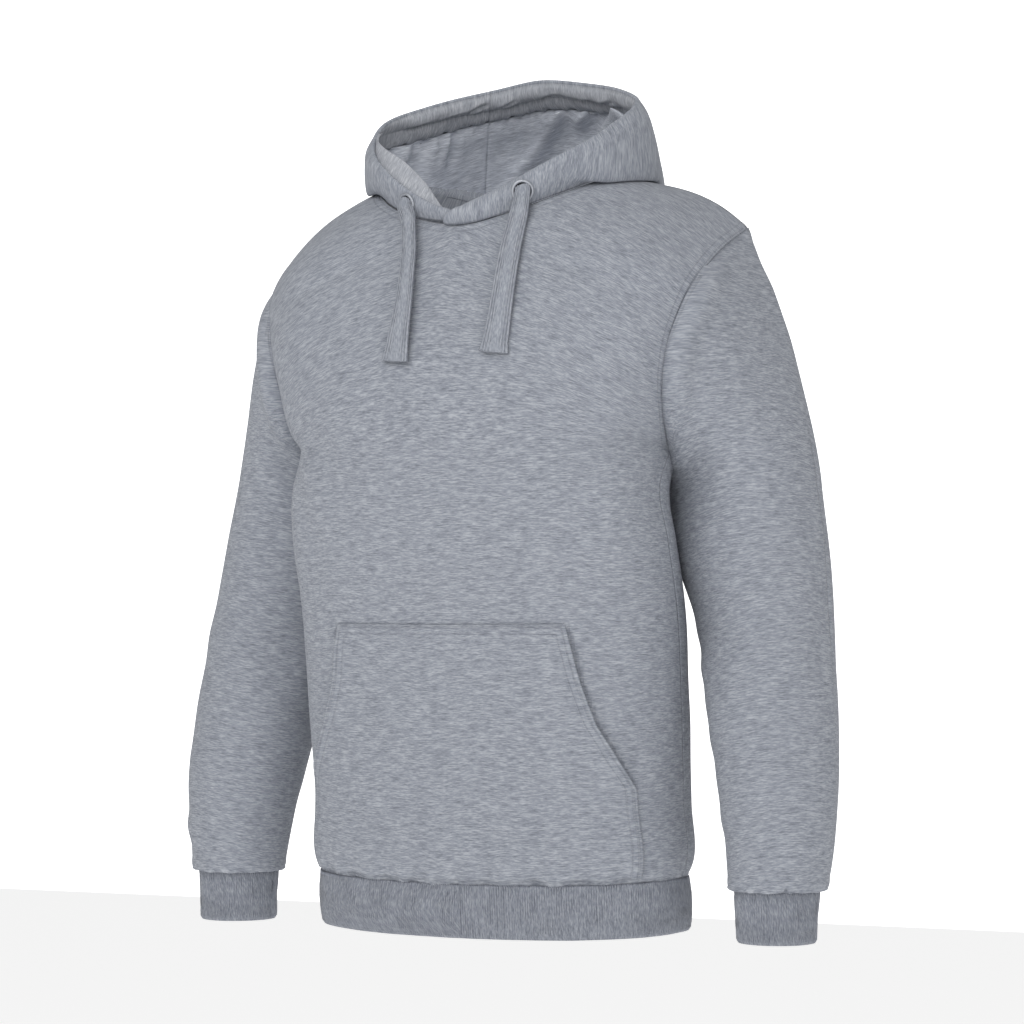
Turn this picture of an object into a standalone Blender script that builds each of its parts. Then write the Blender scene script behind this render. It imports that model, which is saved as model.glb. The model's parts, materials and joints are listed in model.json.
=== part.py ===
"""Pullover hoodie, filled out as if worn: body, sleeves, ribbed cuffs and hem, pocket, lined hood.

Units are metres. The front faces -Y, the wearer's left is +X and up is +Z. The origin lies on the
body's axis, level with the high points of the shoulders.
"""

import math

import bpy
import numpy as np

# Driving dimensions.
CLOTH = 0.0022  # fleece of the body, sleeves and pocket
RIBBING = 0.0026  # cuffs and hem, folded double
SHELL = 0.0015  # hood shell and its turned-in channel
LINING = 0.0013  # hood lining
HALF_SEAM = 0.0002  # each piece stops this far short of a seam line
HOOD_HALF_SEAM = 0.0005  # the same for the hood, whose seams turn more sharply
HEM_SEAM = -0.670  # height of the seam over the hem band, at the sides
HEM_END = -0.722  # lower edge of the hem band
HEM_DIP = 0.005  # how much lower the hem hangs at centre front and back than at the sides
ARMPIT = -0.262
NECK_FRONT = -0.052  # height of the neck seam at centre front
NECK_BACK = -0.020
CUFF_END = -0.7255
SLEEVE_LEAN = 0.10  # slope of the sleeve's level rings under the cap
HEM_RIBS = 120
CUFF_RIBS = 32
HEM_RIB_HEIGHT = 0.0009
CUFF_RIB_HEIGHT = 0.0008
POCKET_TOP = -0.4276
POCKET_LIFT = 0.0010  # gap between the pocket and the front
HOOD_DEPTH = 0.0046  # from the shell's outer face to the lining's bare face
CHANNEL = 0.028  # turned-in front edge of the hood that holds the drawcord
MOST_CHANNEL = 0.62  # part of a short section that the channel takes at most
BEND_SHARE = 0.03  # how much closer the hood's rows lie where it bends
ROLL_STEPS = 4
HOOD_SEAM = 211.0  # angle round the neck, from the front, of the hood's centre seam
LAP_ANGLE = 7.0  # how far each side of the hood runs past centre front
LAP_END = 0.25  # part of the hood's height that is left at the end of the lap
LAP_CLEAR = 0.0014
LAP_FROM = 32.0  # angle from centre front where the two sides start to part for the lap
LAP_WHOLE = 10.0  # angle from which they lie fully apart
EYELET_RADIUS = 0.0108
EYELET_HOLE = 0.0080
EYELET_HEIGHT = 0.0012
CORD_THICKNESS = 0.0032
CORD_TURN = math.radians(16.0)  # how far the cords turn out with the chest, seen from above
CORD_EDGE = 0.82  # part of the cord's half width that is full thickness

# Rows and columns of points.
TORSO_COLUMNS = 9
TORSO_LOW_ROWS = 7
TORSO_HIGH_ROWS = 12
HEM_ROWS = [-0.662, -0.640, -0.600]  # the body's lowest rows over the hem seam
HEM_BAND_ROW = -0.700
CUFF_ROW = -0.702
CAP_ROWS = 5
SLEEVE_LENGTHS = [0.08, 0.18, 0.30, 0.43, 0.57, 0.71, 0.84, 0.91, 0.955, 0.985, 1.0]
POCKET_COLUMNS = 20
POCKET_ROWS = [-0.6655, -0.661, -0.640, -0.610, -0.581, -0.557, -0.522, -0.479, -0.445, POCKET_TOP]
HOOD_ROWS = 13
HOOD_FRONT_ANGLES = [27.0, 17.0, 8.0, 0.0, -LAP_ANGLE]
HOOD_LEFT_ANGLES = [
    *(HOOD_SEAM, 196.0, 180.0, 165.0, 151.0, 139.0, 128.0),
    *(117.0, 104.0, 90.0, 75.0, 58.0, 41.0),
]
HOOD_RIGHT_ANGLES = [HOOD_SEAM, 223.0, 234.0, 245.0, 256.0, 267.0, 279.0, 292.0, 306.0, 320.0]
EYELET_SIDES = 20
CORD_ROWS = 18

OTHER_SIDE = np.array([-1.0, 1.0, 1.0])
GREY = (0.300, 0.325, 0.375)
RIB_GREY = (0.270, 0.292, 0.340)
STEEL = (0.62, 0.63, 0.65)

# Level sections of the body, from the hem seam to the armpit. round is how full a corner is:
# 0.55 gives an ellipse and 0.8 nearly a box.
BODY_SECTIONS = [
    # height, half_width, front, back, side, front_round, back_round
    (-0.670, 0.1880, -0.0985, 0.1045, 0.004, 0.70, 0.66),
    (-0.662, 0.1915, -0.1020, 0.1080, 0.004, 0.70, 0.66),
    (-0.600, 0.1905, -0.1055, 0.1050, 0.000, 0.70, 0.66),
    (-0.510, 0.1920, -0.1160, 0.0975, -0.010, 0.70, 0.66),
    (-0.410, 0.1925, -0.1330, 0.0905, -0.024, 0.70, 0.65),
    (-0.350, 0.1910, -0.1480, 0.0820, -0.042, 0.72, 0.60),
    (-0.300, 0.1855, -0.1570, 0.0820, -0.048, 0.73, 0.60),
    (-0.262, 0.1860, -0.1600, 0.0920, -0.020, 0.70, 0.60),
]
HEM_SECTIONS = [
    # height, half_width, front, back, side, front_round, back_round
    (-0.722, 0.1870, -0.0915, 0.1030, 0.006, 0.70, 0.66),
    (-0.700, 0.1895, -0.0950, 0.1045, 0.005, 0.70, 0.66),
    (-0.6702, 0.1875, -0.0975, 0.1035, 0.003, 0.70, 0.66),
]

# Centre front and centre back, from the armpit's height to the neck seam.
FRONT_LINE = [
    # height, y
    (-0.262, -0.160),
    (-0.210, -0.157),
    (-0.160, -0.147),
    (-0.110, -0.130),
    (-0.070, -0.111),
    (-0.052, -0.100),
]
BACK_LINE = [
    # height, y
    (-0.262, 0.092),
    (-0.200, 0.104),
    (-0.150, 0.109),
    (-0.100, 0.109),
    (-0.060, 0.105),
    (-0.020, 0.097),
]

# The armhole seam, from the armpit (rise 0) over the front or the back to the shoulder (rise 1).
ARMHOLE_FRONT = [
    # rise, x, y, z
    (0.00, 0.186, -0.020, -0.262),
    (0.10, 0.191, -0.042, -0.254),
    (0.20, 0.196, -0.060, -0.238),
    (0.32, 0.200, -0.074, -0.212),
    (0.45, 0.206, -0.081, -0.180),
    (0.60, 0.215, -0.075, -0.145),
    (0.75, 0.225, -0.055, -0.110),
    (0.88, 0.233, -0.010, -0.077),
    (1.00, 0.238, 0.044, -0.053),
]
ARMHOLE_BACK = [
    # rise, x, y, z
    (0.00, 0.186, -0.020, -0.262),
    (0.10, 0.191, 0.014, -0.257),
    (0.20, 0.197, 0.050, -0.241),
    (0.32, 0.202, 0.080, -0.212),
    (0.45, 0.207, 0.099, -0.180),
    (0.60, 0.212, 0.107, -0.145),
    (0.75, 0.222, 0.102, -0.110),
    (0.88, 0.232, 0.080, -0.077),
    (1.00, 0.238, 0.044, -0.053),
]

# Rows of the front and back above the armpit. in_ and out_ are the reach of the row's curve from
# the centre or neck and from the armhole. drop and fall are how steeply it goes down there, in_turn
# and out_turn its direction seen from above, in degrees from straight sideways.
FRONT_YOKE = [
    # rise, in_reach, in_turn, drop, out_reach, out_turn, fall
    (0.00, 0.128, 0.0, 0.00, 0.100, 90.0, 0.0),
    (0.15, 0.126, 0.0, 0.00, 0.085, 84.0, 0.0),
    (0.35, 0.120, 0.0, 0.05, 0.072, 74.0, 0.1),
    (0.58, 0.098, -8.0, 0.35, 0.066, 62.0, 0.5),
    (0.75, 0.060, -12.0, 0.30, 0.055, 42.0, 0.8),
    (0.90, 0.054, 6.0, 0.12, 0.043, 8.0, 0.9),
    (1.00, 0.055, 18.0, 0.02, 0.038, -12.0, 0.95),
]
BACK_YOKE = [
    # rise, in_reach, in_turn, drop, out_reach, out_turn, fall
    (0.00, 0.112, 0.0, 0.00, 0.067, -90.0, 0.0),
    (0.15, 0.120, 0.0, 0.00, 0.045, -60.0, 0.0),
    (0.35, 0.110, 0.0, 0.02, 0.040, -30.0, 0.0),
    (0.60, 0.095, 0.0, 0.05, 0.045, -20.0, 0.2),
    (0.80, 0.085, 0.0, 0.08, 0.050, -16.0, 0.6),
    (0.92, 0.060, 14.0, 0.06, 0.042, -18.0, 0.9),
    (1.00, 0.055, 18.0, 0.02, 0.038, -12.0, 0.95),
]
FRONT_NECK_RISE = 7 / 12  # the row that reaches the neck seam at centre front
BACK_NECK_RISE = 9 / 12
SHOULDER_ANGLE = 112.0  # angle round the neck, from the front, of the shoulder seam

# Centres and half sizes of the wearer's left sleeve below its cap, down to the cuff seam.
SLEEVE_RINGS = [
    # length, x, y, z, half_width, half_depth
    (0.000, 0.2378, 0.0480, -0.3000, 0.0702, 0.0780),
    (0.125, 0.2448, 0.0415, -0.3510, 0.0724, 0.0745),
    (0.270, 0.2556, 0.0325, -0.4070, 0.0692, 0.0700),
    (0.460, 0.2708, 0.0180, -0.4816, 0.0635, 0.0650),
    (0.660, 0.2825, 0.0060, -0.5563, 0.0580, 0.0605),
    (0.815, 0.2882, -0.0018, -0.6123, 0.0553, 0.0570),
    (0.910, 0.2890, -0.0055, -0.6450, 0.0527, 0.0540),
    (0.960, 0.2886, -0.0075, -0.6620, 0.0503, 0.0513),
    (0.985, 0.2880, -0.0090, -0.6745, 0.0480, 0.0485),
    (1.000, 0.2870, -0.0100, -0.6755, 0.0405, 0.0410),
]
CUFF_RINGS = [
    # height, x, y, half_width, half_depth
    (-0.6758, 0.2870, -0.0100, 0.0396, 0.0401),
    (-0.7000, 0.2870, -0.0102, 0.0382, 0.0388),
    (-0.7255, 0.2870, -0.0110, 0.0372, 0.0380),
]

# Half the pocket: how far its edge lies from centre front, as a part of the front's half width.
POCKET_EDGE = [
    # height, edge
    (-0.4276, 0.365),
    (-0.4400, 0.378),
    (-0.4790, 0.425),
    (-0.5220, 0.490),
    (-0.5570, 0.570),
    (-0.5810, 0.640),
    (-0.6660, 0.650),
]

# The hood shell's outer face, by the angle round the neck from the front. Each row runs from the
# neck seam, out over the shoulders or down into the pouch at the back, and up to the front edge.
# r is the distance from the body's axis and z the height of each station.
HOOD_SECTIONS = [
    # angle, neck_r, neck_z, stand_r, stand_z, inner_r, inner_z, low_r, low_z,
    # outer_r, outer_z, top_r, top_z, rim_r, rim_z
    (0, 0.1000, -0.0515, 0.1015, -0.0494, 0.1025, -0.0472, 0.1030, -0.0450,
     0.1030, -0.0428, 0.1025, -0.0408, 0.1010, -0.0390),
    (8, 0.1003, -0.0505, 0.1018, -0.0483, 0.1030, -0.0457, 0.1036, -0.0431,
     0.1036, -0.0404, 0.1028, -0.0372, 0.1010, -0.0342),
    (25, 0.1025, -0.0445, 0.1040, -0.0405, 0.1055, -0.0360, 0.1062, -0.0315,
     0.1060, -0.0275, 0.1045, -0.0235, 0.1010, -0.0193),
    (50, 0.1105, -0.0297, 0.1145, -0.0230, 0.1180, -0.0155, 0.1205, -0.0080,
     0.1215, -0.0010, 0.1205, 0.0058, 0.1165, 0.0110),
    (75, 0.1170, -0.0140, 0.1220, -0.0092, 0.1295, -0.0038, 0.1345, 0.0040,
     0.1360, 0.0155, 0.1345, 0.0295, 0.1290, 0.0390),
    (100, 0.1165, -0.0038, 0.1230, -0.0002, 0.1370, -0.0010, 0.1465, 0.0010,
     0.1490, 0.0200, 0.1450, 0.0490, 0.1360, 0.0700),
    (125, 0.1085, -0.0020, 0.1230, 0.0055, 0.1400, 0.0015, 0.1560, -0.0080,
     0.1595, 0.0120, 0.1450, 0.0565, 0.1205, 0.0910),
    (150, 0.0995, -0.0130, 0.1130, -0.0010, 0.1340, -0.0130, 0.1620, -0.0850,
     0.1900, -0.0400, 0.1620, 0.0500, 0.1080, 0.1035),
    (180, 0.0970, -0.0200, 0.1090, -0.0105, 0.1300, -0.0280, 0.1600, -0.1250,
     0.1950, -0.0650, 0.1650, 0.0490, 0.0940, 0.1105),
]

EYELETS = [
    # name, side, angle round the neck from the front, station up the hood's front edge, lift
    ("eyelet_left", 1.0, 35.0, 0.46, 0.0002),
    ("eyelet_right", -1.0, 32.0, 0.36, -0.0002),
]

# The drawcords, from their eyelets to their free ends. They hang clear of the hollow under the neck
# seam and meet the chest at their ends.
LEFT_CORD = [
    # x, y, z, width
    (0.0655, -0.0960, -0.0245, 0.0155),
    (0.0655, -0.0978, -0.0310, 0.0160),
    (0.0655, -0.1005, -0.0400, 0.0170),
    (0.0652, -0.1060, -0.0520, 0.0185),
    (0.0650, -0.1135, -0.0660, 0.0195),
    (0.0650, -0.1212, -0.0810, 0.0200),
    (0.0655, -0.1290, -0.0970, 0.0205),
    (0.0657, -0.1360, -0.1140, 0.0210),
    (0.0655, -0.1418, -0.1320, 0.0215),
    (0.0648, -0.1466, -0.1500, 0.0225),
    (0.0636, -0.1503, -0.1660, 0.0245),
    (0.0628, -0.1531, -0.1790, 0.0275),
]
RIGHT_CORD = [
    # x, y, z, width
    (-0.0540, -0.0990, -0.0300, 0.0150),
    (-0.0528, -0.1003, -0.0350, 0.0155),
    (-0.0500, -0.1033, -0.0430, 0.0155),
    (-0.0462, -0.1093, -0.0540, 0.0150),
    (-0.0420, -0.1165, -0.0670, 0.0150),
    (-0.0386, -0.1242, -0.0820, 0.0155),
    (-0.0362, -0.1322, -0.0985, 0.0160),
    (-0.0345, -0.1394, -0.1160, 0.0170),
    (-0.0340, -0.1455, -0.1340, 0.0190),
    (-0.0348, -0.1503, -0.1520, 0.0215),
    (-0.0358, -0.1534, -0.1690, 0.0245),
    (-0.0370, -0.1559, -0.1845, 0.0285),
]


def smooth(table, at, level_ends=False):
    """A table's columns at one value of its first column, on smooth curves through its rows."""
    rows = np.array(table, float)
    keys = rows[:, 0]
    values = rows[:, 1:]
    slopes = np.gradient(values, keys, axis=0)
    if level_ends:
        slopes[[0, -1]] = 0.0
    at = min(max(at, keys[0]), keys[-1])
    first = min(int(np.searchsorted(keys, at, side="right")) - 1, len(keys) - 2)
    span = keys[first + 1] - keys[first]
    t = (at - keys[first]) / span
    start = (2 * t**3 - 3 * t**2 + 1) * values[first] + (t**3 - 2 * t**2 + t) * span * slopes[first]
    end = (3 * t**2 - 2 * t**3) * values[first + 1] + (t**3 - t**2) * span * slopes[first + 1]
    return start + end


def bezier(corners, t):
    """A point on the cubic curve with these four control points."""
    a, b, c, d = corners
    return (1 - t) ** 3 * a + 3 * (1 - t) ** 2 * t * b + 3 * (1 - t) * t**2 * c + t**3 * d


def steps(start, end, count):
    return [start + (end - start) * k / count for k in range(count + 1)]


def mirrored(grid):
    """The same grid of points on the wearer's other side, turned to face out again."""
    return [[point * OTHER_SIDE for point in reversed(row)] for row in grid]


def level_row(section, height, facing, dip):
    """Control points of half a level section, from centre front or back to the side."""
    half_width, front, back, side, front_round, back_round = section
    centre, fullness = (front, front_round) if facing < 0 else (back, back_round)
    return [
        np.array([0.0, centre, height - dip]),
        np.array([fullness * half_width, centre, height - dip]),
        np.array([half_width, side + fullness * (centre - side), height]),
        np.array([half_width, side, height]),
    ]


def body_row(facing, height):
    """Half a row of the body below the armpit."""
    dip = HEM_DIP * (ARMPIT - height) / (ARMPIT - HEM_SEAM)
    return level_row(smooth(BODY_SECTIONS, height), height, facing, dip)


def hem_row(facing, height):
    return level_row(smooth(HEM_SECTIONS, height), height, facing, HEM_DIP)


def round_neck(angle, station=0):
    """A station of the hood's section at an angle round the neck, where 0 is the neck seam."""
    folded = math.degrees(math.acos(math.cos(math.radians(angle))))
    section = smooth(HOOD_SECTIONS, folded, level_ends=True)
    radius, height = section[2 * station], section[2 * station + 1]
    turn = math.radians(angle)
    return np.array([radius * math.sin(turn), -radius * math.cos(turn), height])


def yoke_row(facing, rise):
    """Half a row of the front or back above the armpit, from the centre or neck to the armhole."""
    armhole, yoke, line, neck_rise, neck_height, middle = (
        (ARMHOLE_FRONT, FRONT_YOKE, FRONT_LINE, FRONT_NECK_RISE, NECK_FRONT, 0.0)
        if facing < 0
        else (ARMHOLE_BACK, BACK_YOKE, BACK_LINE, BACK_NECK_RISE, NECK_BACK, 180.0)
    )
    if rise <= neck_rise:
        height = ARMPIT + (neck_height - ARMPIT) * rise / neck_rise
        start = np.array([0.0, smooth(line, height)[0], height])
    else:
        start = round_neck(middle + (SHOULDER_ANGLE - middle) * (rise - neck_rise) / (1 - neck_rise))
    end = smooth(armhole, rise)
    in_reach, in_turn, drop, out_reach, out_turn, fall = smooth(yoke, rise)
    in_turn = math.radians(in_turn)
    out_turn = math.radians(out_turn)
    leaving = np.array([math.cos(in_turn), math.sin(in_turn), -drop])
    arriving = np.array([math.cos(out_turn), math.sin(out_turn), -fall])
    return [start, start + in_reach * leaving, end - out_reach * arriving, end]


def torso_point(facing, across, height_or_rise, above=False):
    row = yoke_row(facing, height_or_rise) if above else body_row(facing, height_or_rise)
    return bezier(row, across)


def torso_grids(facing):
    """Half the front or back as two grids, below and above its neck point, columns going out."""
    neck_rise = FRONT_NECK_RISE if facing < 0 else BACK_NECK_RISE
    across = steps(0.0, 1.0, TORSO_COLUMNS)
    heights = [HEM_SEAM] + HEM_ROWS[:-1] + steps(HEM_ROWS[-1], ARMPIT, TORSO_LOW_ROWS)
    rows = [[torso_point(facing, u, height) for u in across] for height in heights]
    rises = steps(0.0, 1.0, TORSO_HIGH_ROWS)[1:]
    rows += [[torso_point(facing, u, rise, True) for u in across] for rise in rises]
    to_neck = len(heights) + sum(rise <= neck_rise + 1e-9 for rise in rises)
    return rows[:to_neck], rows[to_neck - 1 :]


def armhole_ring(count):
    """Points round the armhole: from the shoulder down the front and up the back."""
    front = [smooth(ARMHOLE_FRONT, rise) for rise in steps(1.0, 0.0, count)]
    back = [smooth(ARMHOLE_BACK, rise) for rise in steps(0.0, 1.0, count)]
    return front + back[1:-1]


def sleeve_ring(length, count):
    """Points round the sleeve below its cap, in the armhole's order."""
    x, y, z, half_width, half_depth = smooth(SLEEVE_RINGS, length)
    lean = SLEEVE_LEAN * (1 - length)
    ring = []
    for turn in steps(0.0, 2 * math.pi, count)[:-1]:
        side = half_width * math.cos(turn)
        ring.append(np.array([x + side, y - half_depth * math.sin(turn), z + lean * side]))
    return ring


CAP_PULL = [
    # turn round the armhole from the shoulder, x, y and z of the cloth's pull as it leaves the seam
    (0.0, 0.085, 0.030, -0.105),
    (45.0, 0.085, 0.010, -0.105),
    (90.0, 0.070, -0.020, -0.080),
    (135.0, 0.055, -0.012, -0.050),
    (180.0, 0.038, 0.000, -0.030),
    (225.0, 0.055, 0.012, -0.050),
    (270.0, 0.070, 0.035, -0.080),
    (315.0, 0.072, 0.045, -0.105),
    (360.0, 0.085, 0.030, -0.105),
]
CAP_END_PULL = np.array([0.020, -0.014, -0.110])
UNDERARM_PULL = 0.45  # part of that pull that is left under the arm


def sleeve_rows():
    """The wearer's left sleeve, from the armhole to the cuff seam."""
    around = 2 * TORSO_HIGH_ROWS
    start = armhole_ring(TORSO_HIGH_ROWS)
    end = sleeve_ring(0.0, around)
    rows = []
    for t in steps(0.0, 1.0, CAP_ROWS):
        row = []
        for k in range(around):
            pull = smooth(CAP_PULL, 360.0 * k / around)
            over = (1 + math.cos(2 * math.pi * k / around)) / 2
            arriving = CAP_END_PULL * (UNDERARM_PULL + (1 - UNDERARM_PULL) * over)
            row.append(bezier([start[k], start[k] + pull / 3, end[k] - arriving / 3, end[k]], t))
        rows.append(row)
    rows += [sleeve_ring(length, around) for length in SLEEVE_LENGTHS]
    return rows


def grid_normals(points, quads):
    """Unit normals of a surface's points."""
    normals = np.zeros((len(points), 3))
    for quad in quads:
        a, b, c, d = (points[k] for k in quad)
        facing = np.cross(c - a, d - b)
        for k in quad:
            normals[k] += facing
    return normals / np.linalg.norm(normals, axis=1, keepdims=True)


def joined(grids, closed=False):
    """Grids of points as one surface: its points, its quads and a key for each point."""
    places = {}
    points = []
    quads = []
    for grid in grids:
        ids = []
        for row in grid:
            line = []
            for point in row:
                key = tuple(np.round(point, 6) + 0.0)
                if key not in places:
                    places[key] = len(points)
                    points.append(np.array(point, float))
                line.append(places[key])
            ids.append(line + line[:1] if closed else line)
        for low, high in zip(ids, ids[1:]):
            for k in range(len(low) - 1):
                quads.append((low[k], low[k + 1], high[k + 1], high[k]))
    return np.array(points), quads


def border_of(quads):
    """The directed edges that only one quad has."""
    edges = {}
    for quad in quads:
        for a, b in zip(quad, quad[1:] + quad[:1]):
            edges[(a, b)] = edges.get((a, b), 0) + 1
    return [edge for edge in edges if edge[::-1] not in edges]


def shortened(points, quads, normals, amount):
    """The surface with its edges drawn in, for the gap that a seam leaves."""
    inward = np.zeros_like(points)
    for a, b in border_of(quads):
        along = points[b] - points[a]
        for end in (a, b):
            sideways = np.cross(normals[end], along)
            inward[end] += sideways / np.linalg.norm(sideways)
    size = np.linalg.norm(inward, axis=1)
    moved = size > 0
    points = points.copy()
    points[moved] += inward[moved] / size[moved, None] * amount
    return points


def material(name, colour, roughness, metallic=0.0):
    made = bpy.data.materials.new(name)
    made.use_nodes = True
    shader = made.node_tree.nodes["Principled BSDF"]
    shader.inputs["Base Color"].default_value = (*colour, 1.0)
    shader.inputs["Roughness"].default_value = roughness
    shader.inputs["Metallic"].default_value = metallic
    return made


def solid(name, points, faces, colour, roughness=0.95, metallic=0.0):
    """A named object from points and faces, under the garment's empty."""
    mesh = bpy.data.meshes.new(name)
    mesh.from_pydata([tuple(map(float, point)) for point in points], [], faces)
    mesh.validate()
    mesh.shade_smooth()
    mesh.set_sharp_from_angle(angle=math.radians(50))
    mesh.materials.append(material(name, colour, roughness, metallic))
    made = bpy.data.objects.new(name, mesh)
    bpy.context.scene.collection.objects.link(made)
    made.parent = bpy.data.objects["garment"]
    return made


def walled(name, points, quads, normals, thickness, colour):
    """A sheet's outer face, an inner face under it, and a wall round every open edge."""
    count = len(points)
    inner = points - normals * thickness
    faces = [tuple(quad) for quad in quads]
    faces += [(count + a, count + d, count + c, count + b) for a, b, c, d in quads]
    faces += [(b, a, count + a, count + b) for a, b in border_of(quads)]
    return solid(name, np.vstack([points, inner]), faces, colour)


def sewn_cloth(pieces, thickness, colour):
    """Pieces of cloth that meet at seams, where smooth joins share one edge direction."""
    made = {}
    around = {}
    for name, (points, quads) in pieces.items():
        normals = grid_normals(points, quads)
        made[name] = (points, quads, normals)
        for point, normal in zip(points, normals):
            around.setdefault(tuple(np.round(point, 5) + 0.0), []).append(normal)
    for name, (points, quads, normals) in made.items():
        drawn_in = shortened(points, quads, normals, HALF_SEAM)
        shared = normals.copy()
        for k, point in enumerate(points):
            others = around[tuple(np.round(point, 5) + 0.0)]
            near = [other for other in others if other @ normals[k] > 0.3]
            shared[k] = np.sum(near, axis=0)
        shared /= np.linalg.norm(shared, axis=1, keepdims=True)
        walled(name, drawn_in, quads, shared, thickness, colour)


def torso_and_sleeves():
    pieces = {}
    for name, facing in (("front", -1), ("back", 1)):
        lower, upper = torso_grids(facing)
        if facing > 0:
            lower = [row[::-1] for row in lower]
            upper = [row[::-1] for row in upper]
        pieces[name] = joined([lower, upper, mirrored(lower), mirrored(upper)])
    rows = sleeve_rows()
    right = [[point * OTHER_SIDE for point in row[:1] + row[:0:-1]] for row in rows]
    for name, ring_rows in (("sleeve_left", rows), ("sleeve_right", right)):
        pieces[name] = joined([ring_rows], closed=True)
    sewn_cloth(pieces, CLOTH, GREY)


def ribbed_tube(name, rings, rib_height, thickness):
    """A tube with its ribs raised on every other point of its outer face."""
    count = len(rings[0])
    points, quads = joined([rings], closed=True)
    normals = grid_normals(points, quads)
    outer = points.copy()
    for k in range(len(points)):
        if (k % count) % 2 == 0:
            outer[k] += normals[k] * rib_height
    inner = points - normals * thickness
    total = len(points)
    faces = [tuple(quad) for quad in quads]
    faces += [(total + a, total + d, total + c, total + b) for a, b, c, d in quads]
    faces += [(b, a, total + a, total + b) for a, b in border_of(quads)]
    return solid(name, np.vstack([outer, inner]), faces, RIB_GREY)


def section_ring(row_of, height, count):
    """Points all round the body at one height, evenly spaced, seen from above anticlockwise."""
    front = row_of(-1, height)
    back = row_of(1, height)
    fine = steps(0.0, 1.0, 200)
    line = [bezier(front, t) for t in fine]
    line += [bezier(back, t) for t in fine[-2::-1]]
    line += [point * OTHER_SIDE for point in line[-2:0:-1]]
    line = np.array(line + line[:1])
    run = np.concatenate([[0.0], np.cumsum(np.linalg.norm(np.diff(line, axis=0), axis=1))])
    at = np.linspace(0.0, run[-1], count + 1)[:-1]
    return [np.array([np.interp(s, run, line[:, axis]) for axis in range(3)]) for s in at]


def hem_band():
    heights = [HEM_END, HEM_BAND_ROW, HEM_SECTIONS[-1][0]]
    rings = [section_ring(hem_row, height, 2 * HEM_RIBS) for height in heights]
    ribbed_tube("hem_band", rings, HEM_RIB_HEIGHT, RIBBING)


def cuffs():
    heights = [CUFF_END, CUFF_ROW, CUFF_RINGS[0][0]]
    for name, side in (("cuff_left", 1), ("cuff_right", -1)):
        rings = []
        for height in heights:
            x, y, half_width, half_depth = smooth(CUFF_RINGS[::-1], height)
            ring = []
            for turn in steps(0.0, 2 * math.pi, 2 * CUFF_RIBS)[:-1]:
                place = [side * x + half_width * math.cos(turn), y + half_depth * math.sin(turn), height]
                ring.append(np.array(place))
            rings.append(ring)
        ribbed_tube(name, rings, CUFF_RIB_HEIGHT, RIBBING)


def pocket():
    """The pocket's cloth, made from the front's own points and moved out."""
    grid = []
    for height in POCKET_ROWS:
        edge = smooth(POCKET_EDGE[::-1], height)[0]
        half = [torso_point(-1, edge * u, height) for u in steps(0.0, 1.0, POCKET_COLUMNS // 2)]
        other = [point * OTHER_SIDE for point in half[:0:-1]]
        grid.append(other + half)
    points, quads = joined([grid])
    normals = grid_normals(points, quads)
    lifted = points + normals * (POCKET_LIFT + CLOTH)
    walled("pocket", lifted, quads, normals, CLOTH, GREY)


def hood_point(angle, along):
    """A point of the hood shell's outer face: along goes from 0 at the neck seam to 1 at the rim."""
    folded = math.degrees(math.acos(math.cos(math.radians(angle))))
    section = smooth(HOOD_SECTIONS, folded, level_ends=True)
    stations = [(k / 6, section[2 * k], section[2 * k + 1]) for k in range(7)]
    radius, height = smooth(stations, along)
    turn = math.radians(angle)
    return np.array([radius * math.sin(turn), -radius * math.cos(turn), height])


def hood_frame(angle, along):
    """The same point with the shell's outward direction and the direction up the section."""
    tiny = 0.01
    start, end = max(along - tiny, 0.0), min(along + tiny, 1.0)
    up = hood_point(angle, end) - hood_point(angle, start)
    sideways = hood_point(angle + 0.5, along) - hood_point(angle - 0.5, along)
    out = np.cross(sideways, up)
    return hood_point(angle, along), out / np.linalg.norm(out), up / np.linalg.norm(up)


def lap_shift(angle, side):
    """How far a side of the hood moves out or in where the two sides lap at the front."""
    from_front = math.degrees(math.acos(math.cos(math.radians(angle))))
    share = min(max((LAP_FROM - from_front) / (LAP_FROM - LAP_WHOLE), 0.0), 1.0)
    share = share * share * (3 - 2 * share)
    return side * share * (HOOD_DEPTH + LAP_CLEAR) / 2


def lap_height(angle, side):
    """How much of its height the hood keeps past centre front, where it is cut off slantwise."""
    past = -angle if side > 0 else angle - 360.0
    return 1.0 - (1.0 - LAP_END) * max(past, 0.0) / LAP_ANGLE


def hood_stations(angle, height):
    """Stations up a section, closest where it bends: under the channel, and over it."""
    fine = np.linspace(0.0, height, 121)
    line = np.array([hood_point(angle, s) for s in fine])
    along = np.diff(line, axis=0)
    length = np.linalg.norm(along, axis=1)
    run = np.concatenate([[0.0], np.cumsum(length)])
    heading = along / length[:, None]
    bend = np.arccos(np.clip(np.sum(heading[1:] * heading[:-1], axis=1), -1.0, 1.0))
    weighted = np.concatenate([[0.0], np.cumsum(length + BEND_SHARE * np.append(bend, 0.0))])
    start = np.interp(run[-1] - min(CHANNEL, MOST_CHANNEL * run[-1]), run, fine)
    low = np.interp(np.linspace(0.0, np.interp(start, fine, weighted), HOOD_ROWS), weighted, fine)
    return list(low), steps(start, height, 3)[1:]


def hood_column(angle, stations, depth):
    """Points and outward directions up a section, moved in or out from the shell's outer face."""
    framed = [hood_frame(angle, along) for along in stations]
    return [point + out * depth for point, out, _ in framed], [out for _, out, _ in framed]


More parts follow.
